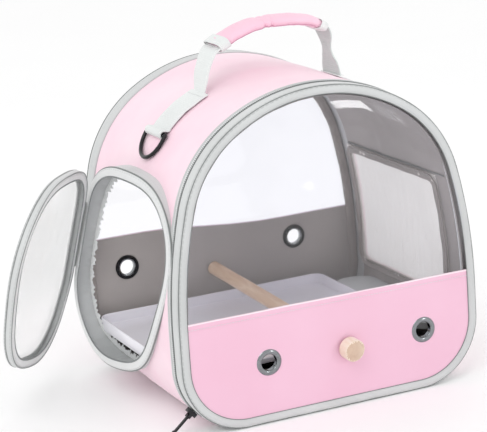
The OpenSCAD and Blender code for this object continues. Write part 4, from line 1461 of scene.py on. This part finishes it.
@dataclass
class SideDoor(Assembly):
    """The side door's gathered rim, its leaf and their zip."""

    gap: float = 0.9
    deep: float = 9.5

    def reach(self, s: Rows, inset: float, wall: float) -> Rows:
        """Depth at which the rim's sleeve meets the side wall, a distance inside its face."""
        plan = self.plan
        plane, _ = plan.rim.at(s, inset)
        turn = math.radians(180 + plan.ring_turn)
        x = -plan.body.half_width(plane[:, 1], wall)
        return (x + plan.width / 2 + plan.ring_out + math.sin(turn) * plane[:, 0]) / math.cos(turn)

    def sleeve(self, name: str, inset: float, wall: float, frill: Field, rows: int,
               front: float) -> Piece:
        """A tube of cloth from the rim's face back to the wall.

        Args:
            name: the piece's name.
            inset: how far inside the rim's outline it runs.
            wall: how far inside the wall's face it ends.
            frill: how it is gathered, from distance along and share of its depth.
            rows: squares along its depth.
            front: depth of its front edge.

        Returns:
            The tube without thickness.
        """
        rim = self.plan.rim

        def place(u: Rows, v: Rows) -> Rows:
            """Points of the tube."""
            s = rim.once_round(u)
            plane, _ = rim.at(s, inset + frill(s, v))
            end = self.reach(s, inset, wall) + rim.lean(plane[:, 1])
            return rim.world(plane, front + (end - front) * v)

        return lay_sheet(name, round(rim.length / 2.2), rows, place, (rim.length * MM, 0.03),
                         merge=True)

    def out_from(self, outline: Outline, sign: float) -> Ways:
        """Directions away from, or towards, the middle of an outline."""
        middle = outline.world(np.array([self.plan.door_middle]), np.array([0.0]))[0]
        return away_from(middle * MM, outline.axis, sign)

    def build(self) -> None:
        """Make the rim, then the leaf."""
        self.make_rim()
        self.make_leaf()
        swap("door_slider", self.finishes.black, "root", "black_metal", 0.6)
        swap("door_pull", self.finishes.black, "door_pull_body", "black_metal", 0.4)

    def make_rim(self) -> None:
        """Make the pieces on the body's side."""
        f, rim = self.finishes, self.plan.rim
        length = rim.length * MM

        def slack(s: Rows, v: Rows) -> Rows:
            """The outer cloth bows out, and ripples towards the wall."""
            return 0.25 * v * waves(s / 40, v, 1.9) - 0.5 * np.sin(v * math.pi)

        outer = self.sleeve("door rim", 0.2, 1.2, slack, 8, -0.9)
        sew(outer, self.out_from(rim, 1.0), 2.4, f.gusset, "root", "pale_band", ["door_rim"],
            (length, 0.022))
        tape = rim.band("door rim tape",
                        [(-0.9, 0.3), (-0.1, 0.9), (0.25, 2.4), (0.1, 6.0), (-0.1, 9.0)], 0.0, 4.0,
                        fine=8)
        sew(tape, rim.axis, 1.1, f.tape, "root", "pale_band", ["door_rim_tape"], (length, 0.009))
        seats = rim.seats(-0.2, 9.9, 2.5, flat=True)
        dress(repeat("door rim teeth", pellet((1.25, 1.9, 1.3), 0.3), seats), f.teeth, "root",
              "zip_teeth", ["door_rim_teeth"])
        # Painted shadow: a dark line along the rim's outer edge.
        shadow = rim.cord("door rim seam", -2.2, -0.5, 0.8)
        dress(shadow, f.cord, "root", "grey_binding")

        def gathers(s: Rows, v: Rows) -> Rows:
            """Small gathers that grow towards the inner edge."""
            return v * (0.9 + 0.9 * waves(s / 19, v * 0.3, 0.4) + 0.6 * waves(s / 8, v * 0.4, 2.7))

        inner = self.sleeve("door rim lining", 3.7, 4.6, gathers, 12, -1.8)
        sew(inner, self.out_from(rim, -1.0), 0.9, f.inner_gusset, "root", "pale_band",
            ["door_rim_lining"], (length, 0.022), held="gathered")
        self.frill()
        self.hinge()

    def frill(self) -> None:
        """Make the loose gathered edge just inside the opening."""
        f, rim = self.finishes, self.plan.rim

        def place(u: Rows, v: Rows) -> Rows:
            """Points of the frill."""
            s = rim.once_round(u)
            wave = waves(s / 13, 0 * s, 0.9) + 0.6 * waves(s / 6.1, 0 * s, 3.3)
            plane, _ = rim.at(s, 5.2 + v * (6.2 + 2.4 * wave))
            back = self.reach(s, 5.0, 4.6) + rim.lean(plane[:, 1])
            return rim.world(plane, back + 1.2 - v * (1.0 + 1.3 * wave))

        edge = lay_sheet("door rim frill", round(rim.length / 1.6), 6, place,
                         (rim.length * MM, 0.007), merge=True)
        sew(edge, rim.axis, 0.5, f.tape, "root", "pale_band", (), (rim.length * MM, 0.0062),
            held="gathered")

    def hinge(self) -> None:
        """Make the cloth hinge, which bends between the body and the leaf."""
        f, p = self.finishes, self.plan
        low, top = p.hinge
        run = top - low
        out = unit(np.array([run[1], -run[0]]))
        if out @ (low - np.array(p.door_middle)) < 0:
            out = -out

        def place(u: Rows, v: Rows) -> Rows:
            """Points of the hinge."""
            depth = -13.0 + 20.0 * v
            stand = 0.9 + 0.2 * np.sin(u * 40) * np.sin(v * math.pi)
            plane = low + run * u[:, None] + out * stand[:, None]
            fixed = np.stack([depth - p.rim.lean(plane[:, 1]), plane[:, 0], plane[:, 1]], 1)
            share = np.clip((depth + 2) / 5, 0, 1)[:, None]
            return moved(fixed, p.rim_place) * (1 - share) + moved(fixed, p.leaf_turn) * share

        cloth = lay_sheet("door hinge cloth", 24, 14, place, (0.09, 0.02))
        face_away(cloth, self.out_from(p.rim, 1.0))
        thicken(cloth, 0.8)
        dress(cloth, f.inner_gusset, "", "grey_binding", ["door_hinge_tape"], (0.09, 0.02))
        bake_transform(cloth)

    def make_leaf(self) -> None:
        """Make the pieces that swing."""
        f, leaf = self.finishes, self.plan.leaf
        length, owner = leaf.length * MM, "side_door_body"
        g, d, axis = self.gap, self.deep, leaf.axis
        band = leaf.band("door band",
                         [(g + 0.1, 0.7), (g + 0.9, 0.1), (g + 4, -0.3), (g + d - 2.2, 0.0)], 0.0,
                         4.0, lambda s, u: 0.25 * waves(s / 45, u / 30, 2.2), fine=9)
        sew(band, self.out_from(leaf, 1.0), 2.2, f.gusset, owner, "pale_band", ["door_band"],
            (length, 0.009))
        tape = leaf.band("door tape", [(g + 0.3, 2.0), (g, 4.0), (g + 0.1, 7.0), (g + 0.3, 9.0)],
                         0.0, 4.0, fine=6)
        sew(tape, -axis, 1.0, f.tape, owner, "pale_band", ["door_tape"], (length, 0.0075))
        seats = leaf.seats(g + 0.5, 9.9, 2.5, flat=True)
        dress(repeat("door teeth", pellet((1.25, 1.9, 1.3), 0.3), seats), f.teeth, owner,
              "zip_teeth", ["door_teeth"])
        inner = leaf.band("door inner gusset", [(g + 1.5, 3.0), (g + 4, 3.4), (g + 6.4, 3.2)], 0.0,
                          2.5, lambda s, u: 0.5 * waves(s / 14, u / 9, 1.1), fine=6)
        sew(inner, self.out_from(leaf, -1.0), 0.5, f.inner_gusset, owner, "pale_band", (),
            (length, 0.006), held="gathered")
        roll = leaf.band("door binding",
                         [(g + d - 2.4, 0.4), (g + d - 1.2, -0.3), (g + d, 0.5), (g + d + 0.5, 3.0),
                          (g + d + 0.4, 6.5), (g + d, 9.4), (g + d - 0.9, 9.9)], 0.0, 4.0,
                         lambda s, u: 0.15 * np.sin(s / 11), fine=14)
        sew(roll, lambda c: axis + 0.5 * self.out_from(leaf, 1.0)(c), 0.7, f.binding, owner,
            "grey_binding", ["door_binding"], (length, 0.014))
        for name, u, inset in (("door seam cord", g + 0.2, 0.35),
                               ("door seam line", g + d - 2.3, -0.1)):
            dress(leaf.cord(name, u, inset, 0.5), f.cord, owner, "grey_binding")

        def bulge(a: Rows, b: Rows) -> Rows:
            """The slow buckles of the clear sheet."""
            middle_a, middle_b = self.plan.door_middle
            edge = np.clip((88 - np.hypot(a - middle_a, (b - middle_b) * 0.85)) / 30, 0, 1)
            return edge * (0.3 + 0.9 * waves(a / 90, b / 110, 5.1))

        film = leaf.disc("door window", 3.0, g + d - 2.0, bulge, rings=12)
        sew(film, axis, 0.45, f.frosted, owner, "clear_sheet", ["door_window"], (0.2, 0.24))


@dataclass
class Inside(Assembly):
    """The tray, the pad beside it, and the perch with its knobs."""

    def build(self) -> None:
        """Make the pieces inside the bag."""
        f = self.finishes
        swap("tray", f.tray, "root", "tray_plastic", 0.9)
        self.pad()
        paint("perch", f.timber)
        for node in ("front_knob", "rear_knob"):
            swap(node, f.knob, node + "_body", "timber", 0.4, "turned")
        for node in ("front_bolt", "rear_bolt"):
            paint(node, f.steel)

    def pad(self) -> None:
        """Make the cloth pad at the tray's right side."""
        low, high = (np.array(v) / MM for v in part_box("side_pad"))
        low, high = low + 0.3, high - 0.3
        middle, half = (low + high) / 2, (high - low) / 2
        bpy.ops.mesh.primitive_cube_add(size=2.0)
        pad = bpy.context.object
        pad.name = pad.data.name = "side pad cushion"
        with edited(pad):
            bpy.ops.mesh.subdivide(number_cuts=22)
        c = corners(pad)
        a, b, h = c.T
        pull = np.clip((np.abs(b) - 0.82) / 0.18, 0, 1)
        across = a * (1 - 0.55 * (1 - np.sqrt(1 - pull ** 2 * 0.98)))
        crown = (1 - 0.35 * np.abs(a) ** 4) * (1 - 0.3 * np.abs(b) ** 8)
        top = np.where(h > 0, h * crown - 0.05 * np.abs(waves(b * 2.0, a * 0.4, 1.7)), h)
        set_corners(pad, (middle + np.stack([across, b, top], 1) * half) * MM)
        pad.data.uv_layers[0].name = "Cloth"
        order = [k.vertex_index for k in pad.data.loops]
        pad.data.uv_layers[0].data.foreach_set("uv", (c[order, :2] * half[:2] * MM).ravel())
        close_up(pad, outward=True)
        dress(smooth(pad, 60), self.finishes.inner_gusset, "root", "grey_binding", ["side_pad"],
              padded=0.5)


@dataclass
class Carry(Assembly):
    """The webbing straps, D-rings and the padded handle."""

    wide: float = 44.0
    foot: float = 81.0
    bar_a: float = 41.8
    bar_r: float = 3.6
    leg_half: float = 21.5
    grip_half: float = 19.3
    keeper_half: float = 22.5

    def __post_init__(self) -> None:
        """Work out where the handle's feet stand."""
        p = self.plan
        crown_z = p.height - p.crown_r
        top = crown_z + math.sqrt((p.crown_r + 2.2) ** 2 - (self.foot - 1) ** 2)
        self.foot_z = top + 0.5
        self.axis_z = self.foot_z + self.wide / 2 + 0.6
        reach = p.shoulder + 5.0
        a = math.radians(self.bar_a)
        self.bar = np.array([p.shoulder_c[0] + reach * math.cos(a),
                             p.shoulder_c[1] + reach * math.sin(a)])

    def build(self) -> None:
        """Make both sides and the handle."""
        for sign, side in ((-1.0, "left"), (1.0, "right")):
            self.strap(sign, side)
            paint(f"{side}_d_ring", self.finishes.black)
        self.legs()
        self.grip()

    def ribbon(self, name: str, line: Rows, half: Rows | float, cells: int,
               ripple: Field, thick: float) -> Piece:
        """A flat strap along a line in the plane of the handle.

        Args:
            name: the piece's name.
            line: points (x, z) of its middle.
            half: half of its width, one value or one for each point.
            cells: squares across it.
            ripple: how far it stands off the line, from shares along and across.
            thick: its thickness.

        Returns:
            The strap.
        """
        count, sides = len(line), side_of(line)
        half = np.broadcast_to(half, (count,))

        def place(u: Rows, v: Rows) -> Rows:
            """Points of the strap."""
            k = np.rint(u * (count - 1)).astype(int)
            p = line[k] + sides[k] * ripple(u, v)[:, None]
            return np.stack([p[:, 0], self.plan.handle_y + (2 * v - 1) * half[k], p[:, 1]], 1)

        strap = lay_sheet(name, count - 1, cells, place,
                          (run_of(line)[-1] * MM, 2 * half.max() * MM))
        return thicken(strap, thick, 0.3)

    def strap(self, sign: float, side: str) -> None:
        """Make the strap that is sewn to the roof and holds a D-ring."""
        p, f = self.plan, self.finishes
        body = p.body
        points = []
        right = body.points[(body.points[:, 0] > 20) & (body.points[:, 1] > 240)]
        order = np.argsort(right[:, 0])
        for x in np.linspace(79.0, self.bar[0] - 4.5, 16):
            z = float(np.interp(x, right[order, 0], right[order, 1]))
            at = int(np.argmin(np.hypot(body.points[:, 0] - x, body.points[:, 1] - z)))
            n = body.normals[at]
            points.append(np.array([x, z]) + n * 2.1)
        loop = [self.bar + self.bar_r * np.array([math.cos(t), math.sin(t)])
                for t in np.linspace(math.radians(100), math.radians(-165), 12)]
        line = soft_line(points[:-1] + loop, 90)
        line[:, 0] *= sign

        def ripple(u: Rows, v: Rows) -> Rows:
            """Where the strap lifts a little off the cloth."""
            on = np.clip(1 - np.abs(u - 0.4) / 0.35, 0, 1)
            return sign * on * (0.7 + 0.9 * waves(u * 2.2, v * 0.8, 2.0 + sign))

        piece = self.ribbon(f"{side} strap webbing", line, self.wide / 2, 14, ripple, 1.4)
        dress(piece, f.webbing, "root", "webbing", [f"{side}_strap"],
              (run_of(line)[-1] * MM, self.wide * MM))
        x, z = points[2]
        across = Matrix.Rotation(math.pi / 2, 4, "Z")
        seats = [Matrix.Translation((sign * x * MM, (p.handle_y - 19 + 3.4 * k) * MM,
                                     (z + 2.1) * MM)) @ across for k in range(12)]
        dress(repeat(f"{side} strap stitches", pellet((2.3, 0.55, 0.6), 0.16), seats), f.tape,
              "root", "webbing")

    def legs(self) -> None:
        """Make the handle's two legs, which bend between the body and the handle."""
        f = self.finishes
        a, h = self.foot, self.axis_z
        left = [(-a - 1, self.foot_z - 2.4), (-a + 1, h - 10), (4 - a, h + 3), (13 - a, h + 21),
                (23 - a, h + 27), (-46, h + 33)]
        right = [(a + 1, self.foot_z - 2.4), (a, h - 10), (a - 2, h - 1), (a - 5, h + 19),
                 (a - 11, h + 32), (58, h + 41)]
        for side, points, waist in (("left", left, 0.1), ("right", right, 0.52)):
            line = soft_line(points, 44)
            t = np.linspace(0, 1, 44)
            end = np.where(t > 0.8, 1 - (t - 0.8) * 2.0, 1)
            half = self.leg_half * (1 - waist * np.exp(-((t - 0.42) / 0.2) ** 2)) * end
            sign = 1.0
            if side == "left":
                half, sign = half - 7.5 * np.exp(-(t / 0.2) ** 2), -1.0

            def ripple(u: Rows, v: Rows) -> Rows:
                """The leg's slight cupping."""
                rise = 1.8 * np.sin(math.pi * np.clip(u * 1.3, 0, 1))
                return sign * rise * ((2 * v - 1) ** 2 - 0.4)

            piece = self.ribbon(f"{side} handle webbing", line, half, 12, ripple, 1.5)
            nodes = ["handle_webbing"] if side == "left" else []
            dress(piece, f.webbing if side == "left" else f.shaded, "", "webbing", nodes,
                  (run_of(line)[-1] * MM, 2 * self.leg_half * MM))
            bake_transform(piece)

    def grip(self) -> None:
        """Make the padded grip, the painted shade line along its underside, and its keepers."""
        f, h = self.finishes, self.axis_z
        line = soft_line([(-59, h + 26.5), (-47, h + 32.5), (-34, h + 38), (-16, h + 43.2),
                          (2, h + 44.8), (20, h + 44.6), (36, h + 43.6), (50, h + 41.2),
                          (58, h + 39), (69, h + 32.5)], 110)
        sides, last = side_of(line), len(line) - 1

        def place(u: Rows, v: Rows) -> Rows:
            """Points of the grip."""
            k, a = np.rint(u * last).astype(int), v * TAU
            end = np.clip(np.minimum(u, 1 - u) / 0.05, 0, 1)
            body = 0.6 + 0.4 * np.sqrt(1 - (1 - end) ** 2)
            crease = 1.25 * np.exp(-((u - 0.44) / 0.016) ** 2) + np.exp(-((u - 0.5) / 0.012) ** 2)
            under = 0.25 + 0.75 * np.clip(-np.sin(a), 0, 1)
            thin = 1 - 0.5 * crease * under - 0.08 * np.exp(-((u - 0.47) / 0.07) ** 2)
            soft = 1 + 0.05 * waves(u * 5, v * 2, 1.5)
            c, s = np.cos(a), np.sin(a)
            w = self.grip_half * np.sign(c) * np.abs(c) ** 0.85 * body * soft * (1 - 0.13 * crease)
            t = 6.3 * np.sign(s) * np.abs(s) ** 0.9 * body * thin * soft
            t = t + 0.8 * np.exp(-((c - 0.1) / 0.07) ** 2) * (s < 0)
            p = line[k] + sides[k] * t[:, None]
            return np.stack([p[:, 0], self.plan.handle_y + w, p[:, 1]], 1)

        grip = lay_sheet("handle grip pad", last, 48, place, (0.15, 0.055), merge=True)
        cap_ends(grip)
        dress(smooth(grip, 60), f.pad, "handle_body", "pink_cloth", ["handle_grip"], padded=0.7)
        # Painted shade: a deep pink line along the grip's lower front, where shade falls under it.
        t = np.linspace(0.09, 0.92, 100)
        seam = tube("handle grip seam", place(t, np.full(100, 0.6)), 0.75)
        dress(seam, f.painted_shade_pink, "handle_body", "pink_cloth")
        for side, at, wide in (("left", 3, 13.0), ("right", 106, 9.0)):
            run = unit(line[min(at + 2, last)] - line[max(at - 2, 0)])
            mid, up = line[at], np.array([-run[1], run[0]])
            sign = -1.0 if side == "left" else 1.0

            def wrap(u: Rows, v: Rows) -> Rows:
                """Points of the keeper."""
                c, s = np.cos(u * TAU), np.sin(u * TAU)
                full = 1 + 0.04 * np.sin(v * math.pi)
                w = self.keeper_half * np.sign(c) * np.abs(c) ** 0.5 * full
                t = (6.2 - sign * 0.8 * (v - 0.5)) * np.sign(s) * np.abs(s) ** 0.6
                q = mid + run * ((v - 0.5) * wide)[:, None] + up * t[:, None]
                return np.stack([q[:, 0], self.plan.handle_y + w, q[:, 1]], 1)

            sleeve = lay_sheet(f"{side} handle keeper", 60, 8, wrap, (0.1, wide * MM), merge=True)
            centre = np.array([mid[0], self.plan.handle_y, mid[1]]) * MM
            face_away(sleeve, lambda c: c - centre)
            nodes = ["handle_keepers"] if side == "left" else []
            dress(thicken(sleeve, 1.1, 0.25), f.webbing, "handle_body", "webbing", nodes,
                  (0.11, wide * MM))


# ---- studio ----
@dataclass(frozen=True)
class Studio:
    """Camera, floor and soft light."""

    eye: tuple[float, float, float] = (-0.9147, -2.0127, 0.7553)
    azimuth: float = -23.6435
    elevation: float = 14.3416
    roll: float = -4.0511
    focal_px: float = 2001.78
    picture_px: float = 487.0

    def camera(self) -> None:
        """Stand the camera at the photograph's angle."""
        az, el, ro = (math.radians(v) for v in (self.azimuth, self.elevation, self.roll))
        ahead = Vector((-math.sin(az) * math.cos(el), math.cos(az) * math.cos(el), -math.sin(el)))
        side = ahead.cross(Vector((0, 0, 1))).normalized()
        up = side.cross(ahead)
        right = side * math.cos(ro) + up * math.sin(ro)
        top = up * math.cos(ro) - side * math.sin(ro)
        data = bpy.data.cameras.new("photo camera")
        data.sensor_fit, data.sensor_width = "HORIZONTAL", 36.0
        data.lens = self.focal_px * 36.0 / self.picture_px
        data.clip_end = 30.0
        camera = link("photo camera", data)
        turn = Matrix((right, top, -ahead)).transposed().to_4x4()
        camera.matrix_world = Matrix.Translation(self.eye) @ turn
        bpy.context.scene.camera = camera

    def floor(self) -> None:
        """Lay a plain pale floor."""
        bpy.ops.mesh.primitive_plane_add(size=14.0, location=(0, 0, -0.0004))
        ground = bpy.context.object
        ground.name = "floor"
        settle(ground)
        g = Surface("Pale floor")
        tint = g.blend(g.noise(g.place, 3.0), tone("FEFEFE"), tone("FCFCFC"))
        ground.data.materials.append(g.finish(Base_Color=tint, Roughness=0.9,
                                              Specular_IOR_Level=0.1))

    def lamps(self) -> None:
        """Hang two soft boxes and set an even pale surround."""
        for name, spot, aim, size, power in (
                ("key box", (-1.6, -1.7, 2.3), (0, 0, 0.2), 1.5, 17.0),
                ("fill box", (1.6, -2.7, 0.75), (0, 0, 0.2), 0.35, 6.0)):
            data = bpy.data.lights.new(name, "AREA")
            data.size, data.energy = size, power
            lamp = link(name, data)
            lamp.location = spot
            lamp.rotation_euler = (Vector(aim) - Vector(spot)).to_track_quat("-Z", "Y").to_euler()
        world = bpy.data.worlds.new("pale surround")
        world.use_nodes = True
        bpy.context.scene.world = world
        g = Graph(world.node_tree)
        rays = g.node("LightPath").outputs
        seen = g.maths("MAXIMUM", g.maths("MAXIMUM", rays["Is Camera Ray"], rays["Is Glossy Ray"]),
                       rays["Is Transmission Ray"])
        ground = world.node_tree.nodes["Background"]
        ground.inputs["Color"].default_value = (1, 1, 1, 1)
        g.feed(ground.inputs["Strength"], g.maths("MULTIPLY_ADD", seen, 0.02, 0.98))
        bpy.context.scene.view_settings.view_transform = "Standard"

    def build(self) -> None:
        """Set the studio up."""
        self.camera()
        self.floor()
        self.lamps()


def main() -> None:
    """Build the studio and every sub-assembly in order."""
    logging.basicConfig(level=logging.INFO, format="%(name)s: %(message)s")
    Studio().build()
    plan, finishes = Plan(), Finishes()
    Shell(plan, finishes).build()
    EndPanel(plan, finishes, "front", -1.0, 126.0, "front_panel_body", ((-79, 68), (111, 68)),
             (16, 67)).build()
    EndPanel(plan, finishes, "rear", 1.0, 152.0, "root", ((-127, 118), (93, 118)), (-17, 98),
             12.0).build()
    FrontZip(plan, finishes).build()
    SideDoor(plan, finishes).build()
    Inside(plan, finishes).build()
    Carry(plan, finishes).build()


if __name__ == "__main__":
    main()
